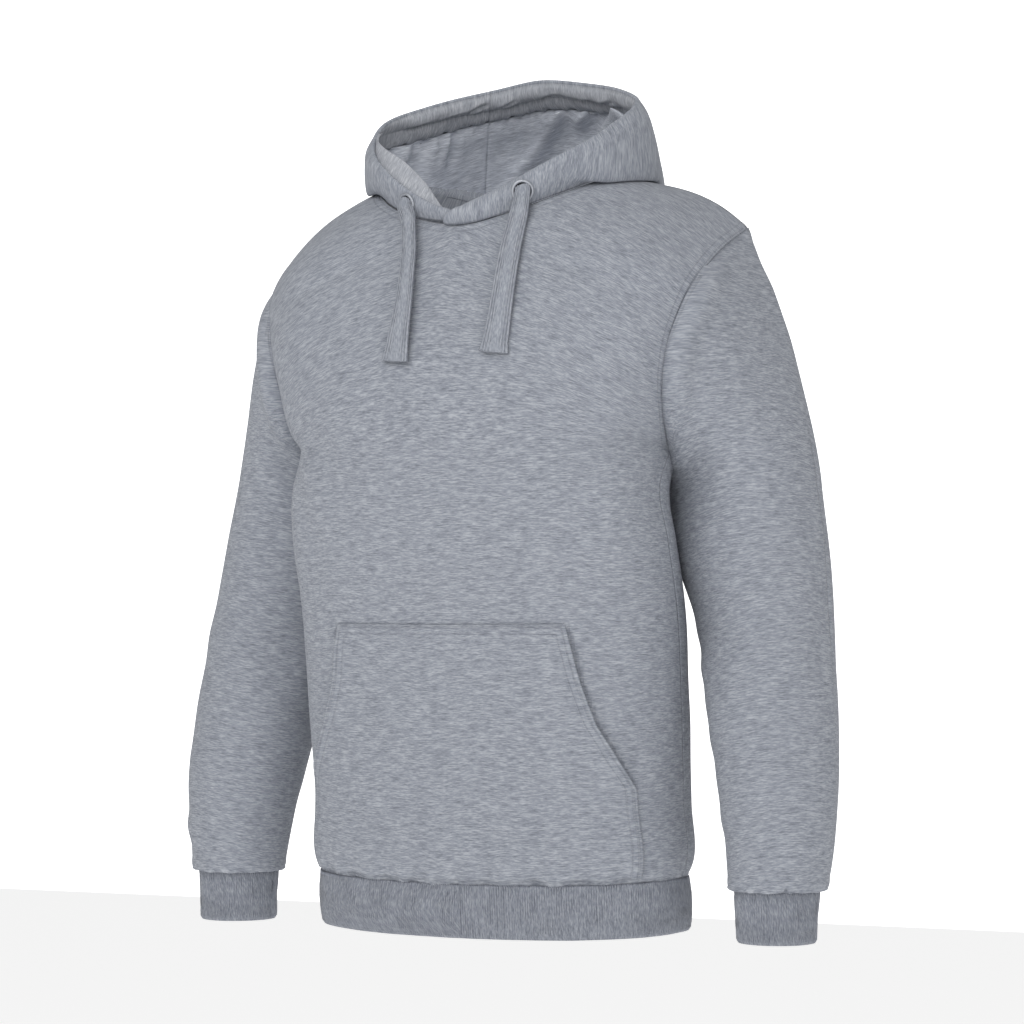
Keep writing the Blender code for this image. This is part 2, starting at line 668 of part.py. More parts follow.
def hood_side(side, angles, name):
    """One side of the hood: its shell with the rolled front edge and channel, and its lining."""
    shell, shell_out, lining, lining_out = [], [], [], []
    for angle in angles:
        height = lap_height(angle, side)
        low, channel = hood_stations(angle, height)
        shift = lap_shift(angle, side)
        column, normals = hood_column(angle, low + channel, shift)
        point, out, up = hood_frame(angle, height)
        middle = point + out * (shift - HOOD_DEPTH / 2)
        for turn in steps(0.0, math.pi, ROLL_STEPS)[1:]:
            direction = out * math.cos(turn) + up * math.sin(turn)
            column.append(middle + direction * HOOD_DEPTH / 2)
            normals.append(direction)
        inside, inside_out = hood_column(angle, [channel[1], channel[0], low[-1]], shift - HOOD_DEPTH)
        shell.append(column + inside)
        shell_out.append(normals + [-out for out in inside_out])
        column, normals = hood_column(angle, low, shift - HOOD_DEPTH)
        lining.append(column)
        lining_out.append([-out for out in normals])
    hood_sheet(f"hood_{name}", shell, shell_out, SHELL, True)
    hood_sheet(f"hood_lining_{name}", lining, lining_out, LINING, False)


def hood_sheet(name, columns, normals, thickness, faces_out):
    """A wall from columns of points with their outward directions."""
    size = len(columns[0])
    points = np.array([point for column in columns for point in column])
    out = np.array([direction for column in normals for direction in column])
    quads = []
    for j in range(len(columns) - 1):
        for i in range(size - 1):
            a, b, c, d = j * size + i, (j + 1) * size + i, (j + 1) * size + i + 1, j * size + i + 1
            quads.append((a, b, c, d) if faces_out else (a, d, c, b))
    walled(name, shortened(points, quads, out, HOOD_HALF_SEAM), quads, out, thickness, GREY)


def hood():
    hood_side(1, (HOOD_LEFT_ANGLES + HOOD_FRONT_ANGLES)[::-1], "left")
    hood_side(-1, HOOD_RIGHT_ANGLES + [360.0 - angle for angle in HOOD_FRONT_ANGLES], "right")


def eyelets():
    """A pressed metal ring flat on each side of the hood's front."""
    profile = [
        # radius from the eyelet's axis, height over the cloth
        (EYELET_HOLE, 0.0),
        (EYELET_RADIUS, 0.0),
        (EYELET_RADIUS, 0.4 * EYELET_HEIGHT),
        (0.7 * EYELET_RADIUS + 0.3 * EYELET_HOLE, EYELET_HEIGHT),
        (0.3 * EYELET_RADIUS + 0.7 * EYELET_HOLE, EYELET_HEIGHT),
        (EYELET_HOLE, 0.4 * EYELET_HEIGHT),
    ]
    for name, side, angle, station, lift in EYELETS:
        centre, out, up = hood_frame(angle, station)
        sideways = np.cross(up, out)
        points = []
        for turn in steps(0.0, 2 * math.pi, EYELET_SIDES)[:-1]:
            spoke = sideways * math.cos(turn) + up * math.sin(turn)
            for radius, height in profile:
                points.append(centre + spoke * radius + out * (lift + height))
        faces = []
        size = len(profile)
        for k in range(EYELET_SIDES):
            following = (k + 1) % EYELET_SIDES
            for j in range(size):
                a, b = k * size + j, k * size + (j + 1) % size
                c, d = following * size + (j + 1) % size, following * size + j
                faces.append((a, b, c, d))
        points = [point * np.array([side, 1.0, 1.0]) for point in points]
        if side > 0:
            faces = [face[::-1] for face in faces]
        solid(name, points, faces, STEEL, 0.3, 1.0)


def drawcords():
    """Each flat cord as a strip with rounded edges along its route."""
    thick = CORD_THICKNESS / 2
    outline = [
        # across the cord as a part of half its width, out from the cloth
        (-1.0, 0.0),
        (-CORD_EDGE, -thick),
        (CORD_EDGE, -thick),
        (1.0, 0.0),
        (CORD_EDGE, thick),
        (-CORD_EDGE, thick),
    ]
    size = len(outline)
    for name, side, table in (("drawcord_left", 1, LEFT_CORD), ("drawcord_right", -1, RIGHT_CORD)):
        route = [(k, *row) for k, row in enumerate(table)]
        across = np.array([math.cos(CORD_TURN), side * math.sin(CORD_TURN), 0.0])
        points = []
        spots = steps(0.0, len(route) - 1, CORD_ROWS)
        for at in spots:
            *centre, width = smooth(route, at)
            along = smooth(route, at + 0.05)[:3] - smooth(route, at - 0.05)[:3]
            out = np.cross(across, along)
            out /= np.linalg.norm(out)
            points += [centre + across * share * width / 2 - out * height for share, height in outline]
        faces = [tuple(range(size)), tuple(range(len(points) - size, len(points)))[::-1]]
        for k in range(len(spots) - 1):
            for j in range(size):
                a, b = k * size + j, k * size + (j + 1) % size
                faces.append((b, a, a + size, b + size))
        solid(name, points, [face[::-1] for face in faces], RIB_GREY)


def main():
    for item in list(bpy.data.objects):
        bpy.data.objects.remove(item)
    garment = bpy.data.objects.new("garment", None)
    bpy.context.scene.collection.objects.link(garment)
    torso_and_sleeves()
    hem_band()
    cuffs()
    pocket()
    hood()
    eyelets()
    drawcords()


main()
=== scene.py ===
"""Grey marl pullover hoodie, filled out as if worn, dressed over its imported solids.

Units are metres. The front faces -Y, the wearer's left is +X and up is +Z.
"""

import json
import math

import bpy
import numpy as np
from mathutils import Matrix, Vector
from mathutils.bvhtree import BVHTree
from mathutils.kdtree import KDTree

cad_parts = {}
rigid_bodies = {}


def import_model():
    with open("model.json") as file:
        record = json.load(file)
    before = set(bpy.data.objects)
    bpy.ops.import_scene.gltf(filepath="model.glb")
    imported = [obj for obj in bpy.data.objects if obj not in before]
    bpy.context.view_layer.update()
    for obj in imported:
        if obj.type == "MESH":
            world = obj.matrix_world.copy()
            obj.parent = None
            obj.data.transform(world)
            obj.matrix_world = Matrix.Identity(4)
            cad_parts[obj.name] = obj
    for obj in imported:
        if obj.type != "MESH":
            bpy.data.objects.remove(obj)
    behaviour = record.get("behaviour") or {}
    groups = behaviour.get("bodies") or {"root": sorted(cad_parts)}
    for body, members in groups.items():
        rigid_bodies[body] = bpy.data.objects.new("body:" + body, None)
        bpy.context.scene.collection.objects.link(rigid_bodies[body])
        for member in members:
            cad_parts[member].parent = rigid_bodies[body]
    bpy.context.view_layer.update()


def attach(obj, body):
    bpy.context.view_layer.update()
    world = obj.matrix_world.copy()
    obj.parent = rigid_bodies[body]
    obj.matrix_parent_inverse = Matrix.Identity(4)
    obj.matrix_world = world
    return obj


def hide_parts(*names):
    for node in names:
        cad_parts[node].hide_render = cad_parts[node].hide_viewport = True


bl_info = {
    "name": "Pullover hoodie",
    "version": (1, 0, 0),
    "blender": (4, 5, 0),
    "location": "View3D > Sidebar > Hoodie",
    "description": "Builds a lined pullover hoodie in marl fleece, piece by piece",
    "category": "Add Mesh",
}

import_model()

UP = np.array([0.0, 0.0, 1.0])

# The garment's pattern, as the solids have it. Heights are below the high points of the shoulders, and
# angles round the neck run in degrees from the front over the wearer's left.
HEM_SEAM = -0.670
HEM_END = -0.722
HEM_DIP = 0.005
ARMPIT = -0.262
NECK_FRONT = -0.052
NECK_BACK = -0.020
CUFF_END = -0.7255
SLEEVE_LEAN = 0.10
POCKET_TOP = -0.4276
POCKET_CORNER = -0.584
HOOD_DEPTH = 0.0046
CHANNEL = 0.028
HOOD_SEAM = 211.0
LAP_ANGLE = 7.0
LAP_END = 0.25
LAP_CLEAR = 0.0014
FRONT_NECK_RISE = 7 / 12
BACK_NECK_RISE = 9 / 12
SHOULDER_ANGLE = 112.0

# The cloth's own ways, in metres.
HEM_FALL = 0.0022  # how far the body falls in over the hem band
HEM_TUCK = 0.0045  # how far its lowest edge goes down behind the band
HEM_SPREAD = 0.015  # how far up the gathers over the band fade out
SEAM_REACH = 0.03  # how far from a seam the creases reach their full depth
TOPSTITCHES = (0.0032, 0.0092)  # the twin needle's two rows, from the seam
POCKET_STITCHES = (0.0048, 0.0108)  # and from the pocket's edge
CUFF_NARROWING = 0.085  # part of its width that the sleeve loses toward the cuff
ARMPIT_CLOSE = 0.0125  # how far the sleeve leans to the body below the armpit
ARMPIT_HOLLOW = 0.024  # how far its front falls back there
FACING_EXTRA = 0.008  # how much deeper than the channel the facing is at the back
FACING_DEPTH = 0.036  # depth of the facing there
FACING_ROLLS = (0.0068, 0.0040)  # height of its two soft rolls
FOOT_DROP = 0.011  # how far the foot of the hood is pressed down behind the neck
LINING_SLACK = 0.0055  # how far loose lining stands in from the shell
LINING_DEEPEST = -0.0048  # depth of the deepest crease that stays inside the shell

BODY_SECTIONS = [
    # height, half_width, front, back, side, front_round, back_round
    (-0.670, 0.1880, -0.0985, 0.1045, 0.004, 0.70, 0.66),
    (-0.662, 0.1915, -0.1020, 0.1080, 0.004, 0.70, 0.66),
    (-0.600, 0.1905, -0.1055, 0.1050, 0.000, 0.70, 0.66),
    (-0.510, 0.1920, -0.1160, 0.0975, -0.010, 0.70, 0.66),
    (-0.410, 0.1925, -0.1330, 0.0905, -0.024, 0.70, 0.65),
    (-0.350, 0.1910, -0.1480, 0.0820, -0.042, 0.72, 0.60),
    (-0.300, 0.1855, -0.1570, 0.0820, -0.048, 0.73, 0.60),
    (-0.262, 0.1860, -0.1600, 0.0920, -0.020, 0.70, 0.60),
]
HEM_SECTIONS = [
    # height, half_width, front, back, side, front_round, back_round
    (-0.722, 0.1870, -0.0915, 0.1030, 0.006, 0.70, 0.66),
    (-0.700, 0.1895, -0.0950, 0.1045, 0.005, 0.70, 0.66),
    (-0.6702, 0.1875, -0.0975, 0.1035, 0.003, 0.70, 0.66),
]
FRONT_LINE = [
    # height, y
    (-0.262, -0.160),
    (-0.210, -0.157),
    (-0.160, -0.147),
    (-0.110, -0.130),
    (-0.070, -0.111),
    (-0.052, -0.100),
]
BACK_LINE = [
    # height, y
    (-0.262, 0.092),
    (-0.200, 0.104),
    (-0.150, 0.109),
    (-0.100, 0.109),
    (-0.060, 0.105),
    (-0.020, 0.097),
]
ARMHOLE_FRONT = [
    # rise, x, y, z
    (0.00, 0.186, -0.020, -0.262),
    (0.10, 0.191, -0.042, -0.254),
    (0.20, 0.196, -0.060, -0.238),
    (0.32, 0.200, -0.074, -0.212),
    (0.45, 0.206, -0.081, -0.180),
    (0.60, 0.215, -0.075, -0.145),
    (0.75, 0.225, -0.055, -0.110),
    (0.88, 0.233, -0.010, -0.077),
    (1.00, 0.238, 0.044, -0.053),
]
ARMHOLE_BACK = [
    # rise, x, y, z
    (0.00, 0.186, -0.020, -0.262),
    (0.10, 0.191, 0.014, -0.257),
    (0.20, 0.197, 0.050, -0.241),
    (0.32, 0.202, 0.080, -0.212),
    (0.45, 0.207, 0.099, -0.180),
    (0.60, 0.212, 0.107, -0.145),
    (0.75, 0.222, 0.102, -0.110),
    (0.88, 0.232, 0.080, -0.077),
    (1.00, 0.238, 0.044, -0.053),
]
FRONT_YOKE = [
    # rise, in_reach, in_turn, drop, out_reach, out_turn, fall
    (0.00, 0.128, 0.0, 0.00, 0.100, 90.0, 0.0),
    (0.15, 0.126, 0.0, 0.00, 0.085, 84.0, 0.0),
    (0.35, 0.120, 0.0, 0.05, 0.072, 74.0, 0.1),
    (0.58, 0.098, -8.0, 0.35, 0.066, 62.0, 0.5),
    (0.75, 0.060, -12.0, 0.30, 0.055, 42.0, 0.8),
    (0.90, 0.054, 6.0, 0.12, 0.043, 8.0, 0.9),
    (1.00, 0.055, 18.0, 0.02, 0.038, -12.0, 0.95),
]
BACK_YOKE = [
    # rise, in_reach, in_turn, drop, out_reach, out_turn, fall
    (0.00, 0.112, 0.0, 0.00, 0.067, -90.0, 0.0),
    (0.15, 0.120, 0.0, 0.00, 0.045, -60.0, 0.0),
    (0.35, 0.110, 0.0, 0.02, 0.040, -30.0, 0.0),
    (0.60, 0.095, 0.0, 0.05, 0.045, -20.0, 0.2),
    (0.80, 0.085, 0.0, 0.08, 0.050, -16.0, 0.6),
    (0.92, 0.060, 14.0, 0.06, 0.042, -18.0, 0.9),
    (1.00, 0.055, 18.0, 0.02, 0.038, -12.0, 0.95),
]
SLEEVE_RINGS = [
    # length, x, y, z, half_width, half_depth
    (0.000, 0.2378, 0.0480, -0.3000, 0.0702, 0.0780),
    (0.125, 0.2448, 0.0415, -0.3510, 0.0724, 0.0745),
    (0.270, 0.2556, 0.0325, -0.4070, 0.0692, 0.0700),
    (0.460, 0.2708, 0.0180, -0.4816, 0.0635, 0.0650),
    (0.660, 0.2825, 0.0060, -0.5563, 0.0580, 0.0605),
    (0.815, 0.2882, -0.0018, -0.6123, 0.0553, 0.0570),
    (0.910, 0.2890, -0.0055, -0.6450, 0.0527, 0.0540),
    (0.960, 0.2886, -0.0075, -0.6620, 0.0503, 0.0513),
    (0.985, 0.2880, -0.0090, -0.6745, 0.0480, 0.0485),
    (1.000, 0.2870, -0.0100, -0.6755, 0.0405, 0.0410),
]
CUFF_RINGS = [
    # height, x, y, half_width, half_depth
    (-0.7255, 0.2870, -0.0110, 0.0372, 0.0380),
    (-0.7000, 0.2870, -0.0102, 0.0382, 0.0388),
    (-0.6758, 0.2870, -0.0100, 0.0396, 0.0401),
]
CAP_PULL = [
    # turn round the armhole from the shoulder, x, y and z of the cloth's pull as it leaves the seam
    (0.0, 0.085, 0.030, -0.105),
    (45.0, 0.085, 0.010, -0.105),
    (90.0, 0.070, -0.020, -0.080),
    (135.0, 0.055, -0.012, -0.050),
    (180.0, 0.038, 0.000, -0.030),
    (225.0, 0.055, 0.012, -0.050),
    (270.0, 0.070, 0.035, -0.080),
    (315.0, 0.072, 0.045, -0.105),
    (360.0, 0.085, 0.030, -0.105),
]
CAP_END_PULL = np.array([0.020, -0.014, -0.110])
POCKET_EDGE = [
    # height, edge as a part of the front's half width
    (-0.6660, 0.662),
    (-0.5830, 0.646),
    (-0.5570, 0.560),
    (-0.5405, 0.516),
    (-0.5220, 0.466),
    (-0.5016, 0.436),
    (-0.4790, 0.408),
    (-0.4534, 0.386),
    (-0.4276, 0.367),
]
HOOD_SECTIONS = [
    # angle, neck_r, neck_z, stand_r, stand_z, inner_r, inner_z, low_r, low_z,
    # outer_r, outer_z, top_r, top_z, rim_r, rim_z
    (0, 0.1000, -0.0515, 0.1015, -0.0494, 0.1025, -0.0472, 0.1030, -0.0450,
     0.1030, -0.0428, 0.1025, -0.0408, 0.1010, -0.0390),
    (8, 0.1003, -0.0505, 0.1018, -0.0483, 0.1030, -0.0457, 0.1036, -0.0431,
     0.1036, -0.0404, 0.1028, -0.0372, 0.1010, -0.0342),
    (25, 0.1025, -0.0445, 0.1040, -0.0405, 0.1055, -0.0360, 0.1062, -0.0315,
     0.1060, -0.0275, 0.1045, -0.0235, 0.1010, -0.0193),
    (50, 0.1105, -0.0297, 0.1145, -0.0230, 0.1180, -0.0155, 0.1205, -0.0080,
     0.1215, -0.0010, 0.1205, 0.0058, 0.1165, 0.0110),
    (75, 0.1170, -0.0140, 0.1220, -0.0092, 0.1295, -0.0038, 0.1345, 0.0040,
     0.1360, 0.0155, 0.1345, 0.0295, 0.1290, 0.0390),
    (100, 0.1165, -0.0038, 0.1230, -0.0002, 0.1370, -0.0010, 0.1465, 0.0010,
     0.1490, 0.0200, 0.1450, 0.0490, 0.1360, 0.0700),
    (125, 0.1085, -0.0020, 0.1230, 0.0055, 0.1400, 0.0015, 0.1560, -0.0080,
     0.1595, 0.0120, 0.1450, 0.0565, 0.1205, 0.0910),
    (150, 0.0995, -0.0130, 0.1130, -0.0010, 0.1340, -0.0130, 0.1620, -0.0850,
     0.1900, -0.0400, 0.1620, 0.0500, 0.1080, 0.1035),
    (180, 0.0970, -0.0200, 0.1090, -0.0105, 0.1300, -0.0280, 0.1600, -0.1250,
     0.1950, -0.0650, 0.1650, 0.0490, 0.0940, 0.1105),
]
EYELETS = [
    # name, side, angle round the neck from the front, station up the hood's front edge, lift
    ("left", 1.0, 35.0, 0.46, 0.0002),
    ("right", -1.0, 32.0, 0.36, -0.0002),
]
EYELET_RADIUS = 0.0108
EYELET_HOLE = 0.0080
CORD_TURN = math.radians(16.0)
LEFT_CORD = [
    # x, y, z, width
    (0.0655, -0.0960, -0.0245, 0.0155),
    (0.0655, -0.0978, -0.0310, 0.0160),
    (0.0655, -0.1005, -0.0400, 0.0170),
    (0.0652, -0.1060, -0.0520, 0.0185),
    (0.0650, -0.1135, -0.0660, 0.0195),
    (0.0650, -0.1212, -0.0810, 0.0200),
    (0.0655, -0.1290, -0.0970, 0.0205),
    (0.0657, -0.1360, -0.1140, 0.0210),
    (0.0655, -0.1418, -0.1320, 0.0215),
    (0.0648, -0.1466, -0.1500, 0.0225),
    (0.0636, -0.1503, -0.1660, 0.0245),
    (0.0628, -0.1531, -0.1790, 0.0275),
]
RIGHT_CORD = [
    # x, y, z, width
    (-0.0540, -0.0990, -0.0300, 0.0150),
    (-0.0528, -0.1003, -0.0350, 0.0155),
    (-0.0500, -0.1033, -0.0430, 0.0155),
    (-0.0462, -0.1093, -0.0540, 0.0150),
    (-0.0420, -0.1165, -0.0670, 0.0150),
    (-0.0386, -0.1242, -0.0820, 0.0155),
    (-0.0362, -0.1322, -0.0985, 0.0160),
    (-0.0345, -0.1394, -0.1160, 0.0170),
    (-0.0340, -0.1455, -0.1340, 0.0190),
    (-0.0348, -0.1503, -0.1520, 0.0215),
    (-0.0358, -0.1534, -0.1690, 0.0245),
    (-0.0370, -0.1559, -0.1845, 0.0285),
]

# Creases, in metres on each piece: from one end to the other, how far the middle bows sideways as a
# part of the length, half width and depth.
FRONT_FOLDS = [
    # x, z, end_x, end_z, bow, width, depth
    (0.178, -0.215, 0.085, -0.330, 0.10, 0.015, 0.0026),
    (0.186, -0.245, 0.130, -0.395, 0.12, 0.013, 0.0022),
    (-0.178, -0.220, -0.095, -0.320, -0.10, 0.015, 0.0022),
    (-0.184, -0.250, -0.140, -0.400, -0.10, 0.013, 0.0020),
    (0.170, -0.470, 0.060, -0.560, -0.08, 0.018, 0.0016),
    (-0.150, -0.455, -0.070, -0.520, 0.08, 0.018, 0.0014),
    (0.120, -0.180, 0.030, -0.230, 0.06, 0.018, 0.0014),
    (-0.110, -0.190, -0.020, -0.245, -0.06, 0.018, 0.0012),
    (0.175, -0.600, 0.090, -0.630, 0.05, 0.012, 0.0014),
    (-0.170, -0.585, -0.080, -0.640, -0.05, 0.012, 0.0014),
]
BACK_FOLDS = [
    # x, z, end_x, end_z, bow, width, depth
    (0.180, -0.225, 0.080, -0.310, 0.10, 0.016, 0.0028),
    (-0.182, -0.230, -0.085, -0.330, -0.10, 0.016, 0.0026),
    (0.176, -0.270, 0.060, -0.400, 0.12, 0.015, 0.0022),
    (-0.176, -0.275, -0.075, -0.385, -0.12, 0.015, 0.0022),
    (0.150, -0.480, -0.040, -0.530, 0.06, 0.017, 0.0022),
    (-0.165, -0.530, 0.020, -0.575, -0.06, 0.016, 0.0020),
    (0.160, -0.590, -0.020, -0.625, 0.05, 0.013, 0.0020),
    (-0.130, -0.120, -0.020, -0.160, 0.05, 0.018, 0.0014),
    (0.130, -0.115, 0.030, -0.165, -0.05, 0.018, 0.0014),
]
SLEEVE_FOLDS = [
    # around, z, end_around, end_z, bow, width, depth; around runs from the outside over the front
    (0.185, -0.330, 0.300, -0.380, 0.10, 0.013, 0.0026),
    (0.160, -0.405, 0.290, -0.440, 0.10, 0.012, 0.0024),
    (0.150, -0.470, 0.260, -0.490, -0.10, 0.011, 0.0026),
    (0.140, -0.505, 0.255, -0.545, 0.12, 0.011, 0.0022),
    (0.020, -0.420, 0.110, -0.470, 0.10, 0.015, 0.0014),
    (0.300, -0.460, 0.390, -0.430, 0.08, 0.014, 0.0018),
    (0.040, -0.560, 0.150, -0.600, -0.08, 0.013, 0.0018),
    (0.000, -0.615, 0.100, -0.645, 0.08, 0.010, 0.0022),
    (0.120, -0.630, 0.230, -0.610, -0.08, 0.010, 0.0022),
    (0.240, -0.580, 0.350, -0.630, 0.08, 0.011, 0.0022),
    (0.290, -0.650, 0.370, -0.640, 0.08, 0.009, 0.0018),
]


def curve(keys, values, at, level_ends=False):
    """Smooth curves through rows of values, read at many places."""
    keys = np.asarray(keys, float)
    values = np.asarray(values, float)
    slopes = np.gradient(values, keys, axis=0)
    if level_ends:
        slopes[[0, -1]] = 0.0
    at = np.clip(np.asarray(at, float), keys[0], keys[-1])
    first = np.minimum(np.searchsorted(keys, at, side="right") - 1, len(keys) - 2)
    shape = at.shape + (1,) * (values.ndim - 1)
    span = (keys[first + 1] - keys[first]).reshape(shape)
    t = (at - keys[first]).reshape(shape) / span
    start = (2 * t**3 - 3 * t**2 + 1) * values[first] + (t**3 - 2 * t**2 + t) * span * slopes[first]
    end = (3 * t**2 - 2 * t**3) * values[first + 1] + (t**3 - t**2) * span * slopes[first + 1]
    return start + end


def smooth(table, at, level_ends=False):
    """Rows of a table whose first column is the key, read at many places."""
    rows = np.array(table, float)
    return curve(rows[:, 0], rows[:, 1:], at, level_ends)


def bezier(corners, t):
    """Points on the cubic curve with these four control points."""
    a, b, c, d = corners
    t = np.asarray(t, float)[..., None]
    return (1 - t) ** 3 * a + 3 * (1 - t) ** 2 * t * b + 3 * (1 - t) * t**2 * c + t**3 * d


def unit(vectors):
    return vectors / np.maximum(np.linalg.norm(vectors, axis=-1, keepdims=True), 1e-12)


def from_front(angle):
    """Angle round the neck from the front, the same on both sides, from 0 to 180 degrees."""
    return np.degrees(np.arccos(np.cos(np.radians(angle))))


def bell(distance, width):
    """1 at no distance, fading to nothing over about twice the width."""
    return np.exp(-((distance / width) ** 2))


def ramp(value, start, end):
    """Smoothly from 0 at start to 1 at end."""
    t = np.clip((value - start) / (end - start), 0.0, 1.0)
    return t * t * (3 - 2 * t)


def level_row(section, height, facing, dip):
    """Control points of half a level row of the front or back, from the middle out to the side."""
    half_width, front, back, side, front_round, back_round = section
    centre, fullness = (front, front_round) if facing < 0 else (back, back_round)
    return [
        np.array([0.0, centre, height - dip]),
        np.array([fullness * half_width, centre, height - dip]),
        np.array([half_width, side + fullness * (centre - side), height]),
        np.array([half_width, side, height]),
    ]


def body_row(facing, height):
    dip = HEM_DIP * (ARMPIT - height) / (ARMPIT - HEM_SEAM)
    return level_row(smooth(BODY_SECTIONS, height), height, facing, dip)


def hem_row(facing, height):
    return level_row(smooth(HEM_SECTIONS, height), height, facing, HEM_DIP)


def hood_table(angle):
    """Radius and height of the hood's seven stations at angles round the neck."""
    sections = smooth(HOOD_SECTIONS, from_front(angle), level_ends=True)
    return sections.reshape(sections.shape[:-1] + (7, 2))


def round_neck(angle):
    radius, height = hood_table(angle)[0]
    turn = math.radians(angle)
    return np.array([radius * math.sin(turn), -radius * math.cos(turn), height])


def yoke_row(facing, rise):
    """Control points of half a row above the armpit, from the middle or the neck out to the armhole."""
    if facing < 0:
        tables = ARMHOLE_FRONT, FRONT_YOKE, FRONT_LINE
        neck_rise, neck_height, middle = FRONT_NECK_RISE, NECK_FRONT, 0.0
    else:
        tables = ARMHOLE_BACK, BACK_YOKE, BACK_LINE
        neck_rise, neck_height, middle = BACK_NECK_RISE, NECK_BACK, 180.0
    armhole, yoke, line = tables
    if rise <= neck_rise:
        height = ARMPIT + (neck_height - ARMPIT) * rise / neck_rise
        start = np.array([0.0, smooth(line, height)[0], height])
    else:
        start = round_neck(middle + (SHOULDER_ANGLE - middle) * (rise - neck_rise) / (1 - neck_rise))
    end = smooth(armhole, rise)
    in_reach, in_turn, drop, out_reach, out_turn, fall = smooth(yoke, rise)
    in_turn = math.radians(in_turn)
    out_turn = math.radians(out_turn)
    leaving = np.array([math.cos(in_turn), math.sin(in_turn), -drop])
    arriving = np.array([math.cos(out_turn), math.sin(out_turn), -fall])
    return [start, start + in_reach * leaving, end - out_reach * arriving, end]


def mirrored(points):
    return points * np.array([-1.0, 1.0, 1.0])


def run_of(points, axis):
    """Distance run along an axis of a grid of points."""
    step = np.linalg.norm(np.diff(points, axis=axis), axis=-1)
    pad = [(0, 0)] * step.ndim
    pad[axis] = (1, 0)
    return np.cumsum(np.pad(step, pad), axis=axis)


def mean_rise(grid):
    """Distance of each row of a grid from the first one, as a mean of its columns."""
    steps = np.linalg.norm(np.diff(grid, axis=0), axis=2).mean(axis=1)
    return np.concatenate([[0.0], np.cumsum(steps)])


def torso_grids(facing, columns, spacing):
    """Half a front or back, below and above its neck point, columns going out."""
    neck_rise = FRONT_NECK_RISE if facing < 0 else BACK_NECK_RISE
    across = np.linspace(0.0, 1.0, columns)
    low = np.concatenate([
        np.linspace(HEM_SEAM, -0.640, 14, endpoint=False),
        np.linspace(-0.640, ARMPIT, int((0.640 + ARMPIT) / spacing), endpoint=False),
    ])
    to_neck = np.linspace(0.0, neck_rise, int(0.20 / spacing))
    over = np.linspace(neck_rise, 1.0, int(0.16 / spacing))
    lower = [bezier(body_row(facing, height), across) for height in low]
    lower += [bezier(yoke_row(facing, rise), across) for rise in to_neck]
    upper = [bezier(yoke_row(facing, rise), across) for rise in over]
    return np.array(lower), np.array(upper)


def piece_of_grids(grids):
    """Grids of points as one surface: points, quads, and for each quad's corners and for each point
    its place in the pattern. A grid is its points and their places, columns anticlockwise."""
    points = np.concatenate([grid.reshape(-1, 3) for grid, _ in grids])
    places = np.concatenate([place.reshape(-1, 2) for _, place in grids])
    quads = []
    start = 0
    for grid, _ in grids:
        rows, columns = grid.shape[:2]
        ids = np.arange(start, start + rows * columns).reshape(rows, columns)
        corners = (ids[:-1, :-1], ids[:-1, 1:], ids[1:, 1:], ids[1:, :-1])
        quads.append(np.stack(corners, axis=-1).reshape(-1, 4))
        start += rows * columns
    quads = np.concatenate(quads)
    corner_places = places[quads]
    _, first, weld = np.unique(np.round(points, 6) + 0.0, axis=0, return_index=True, return_inverse=True)
    return points[first], weld.reshape(-1)[quads], corner_places, places[first]


def normals_of(points, quads):
    a, b, c, d = (points[quads[:, k]] for k in range(4))
    facing = np.cross(c - a, d - b)
    normals = np.zeros_like(points)
    for k in range(4):
        np.add.at(normals, quads[:, k], facing)
    return unit(normals)


def folded_relief(place, folds, scale):
    """Height of the creases at places of a piece: a soft trough with a ridge beside it."""
    total = np.zeros(len(place))
    for a, b, end_a, end_b, bow, width, depth in folds:
        start = np.array([a, b])
        along = np.array([end_a, end_b]) - start
        length = np.linalg.norm(along)
        offset = place - start
        t = offset @ along / length**2
        middle = np.clip(t, 0.0, 1.0)
        side = (offset[:, 0] * along[1] - offset[:, 1] * along[0]) / length
        side = side - bow * length * 4 * middle * (1 - middle)
        taper = np.sin(math.pi * middle) ** 0.8 * (t > 0) * (t < 1)
        spread = width * (0.75 + 0.5 * middle)
        trough = bell(side, spread)
        ridges = 0.55 * bell(side - 1.9 * spread, 1.1 * spread)
        ridges += 0.30 * bell(side + 1.9 * spread, 1.2 * spread)
        total += depth * taper * (ridges - trough)
    return total * scale


def drift(place, size, seed):
    """A slow unevenness of the cloth, from a few waves with no common length."""
    waves = [(1.00, 0.31), (0.62, 1.40), (1.71, 2.20), (0.87, 3.05), (1.37, 4.40), (2.30, 5.60)]
    total = np.zeros(len(place))
    for k, (share, heading) in enumerate(waves):
        heading += seed
        along = place[:, 0] * math.cos(heading) + place[:, 1] * math.sin(heading)
        total += np.sin(2 * math.pi * share * along / size + seed * 1.7 + k) / share**0.5
    return total / len(waves)


def tree_of(line):
    """A search tree over a line of points."""
    tree = KDTree(len(line))
    for k, point in enumerate(line):
        tree.insert(point, k)
    tree.balance()
    return tree


def distance_to(points, line):
    """Distance of each point from a line of points close together."""
    tree = tree_of(line)
    return np.array([tree.find(point)[2] for point in points])


def distance_to_both(points, line):
    """Distance of each point from a line or from its mirror image."""
    return np.minimum(distance_to(points, line), distance_to(points, mirrored(line)))


def fine_line(points, spacing=0.0008):
    """A line through points, as points at an even spacing."""
    points = np.asarray(points, float)
    run = run_of(points, 0)
    at = np.linspace(0.0, run[-1], max(int(run[-1] / spacing), 2))
    return np.stack([np.interp(at, run, points[:, k]) for k in range(3)], axis=1)


def add_object(name, mesh, replaced=()):
    """A mesh as an object that rides on the body and the solids that it replaces."""
    mesh.shade_smooth()
    made = bpy.data.objects.new(name, mesh)
    bpy.context.scene.collection.objects.link(made)
    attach(made, "root")
    if replaced:
        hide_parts(*replaced)
    return made


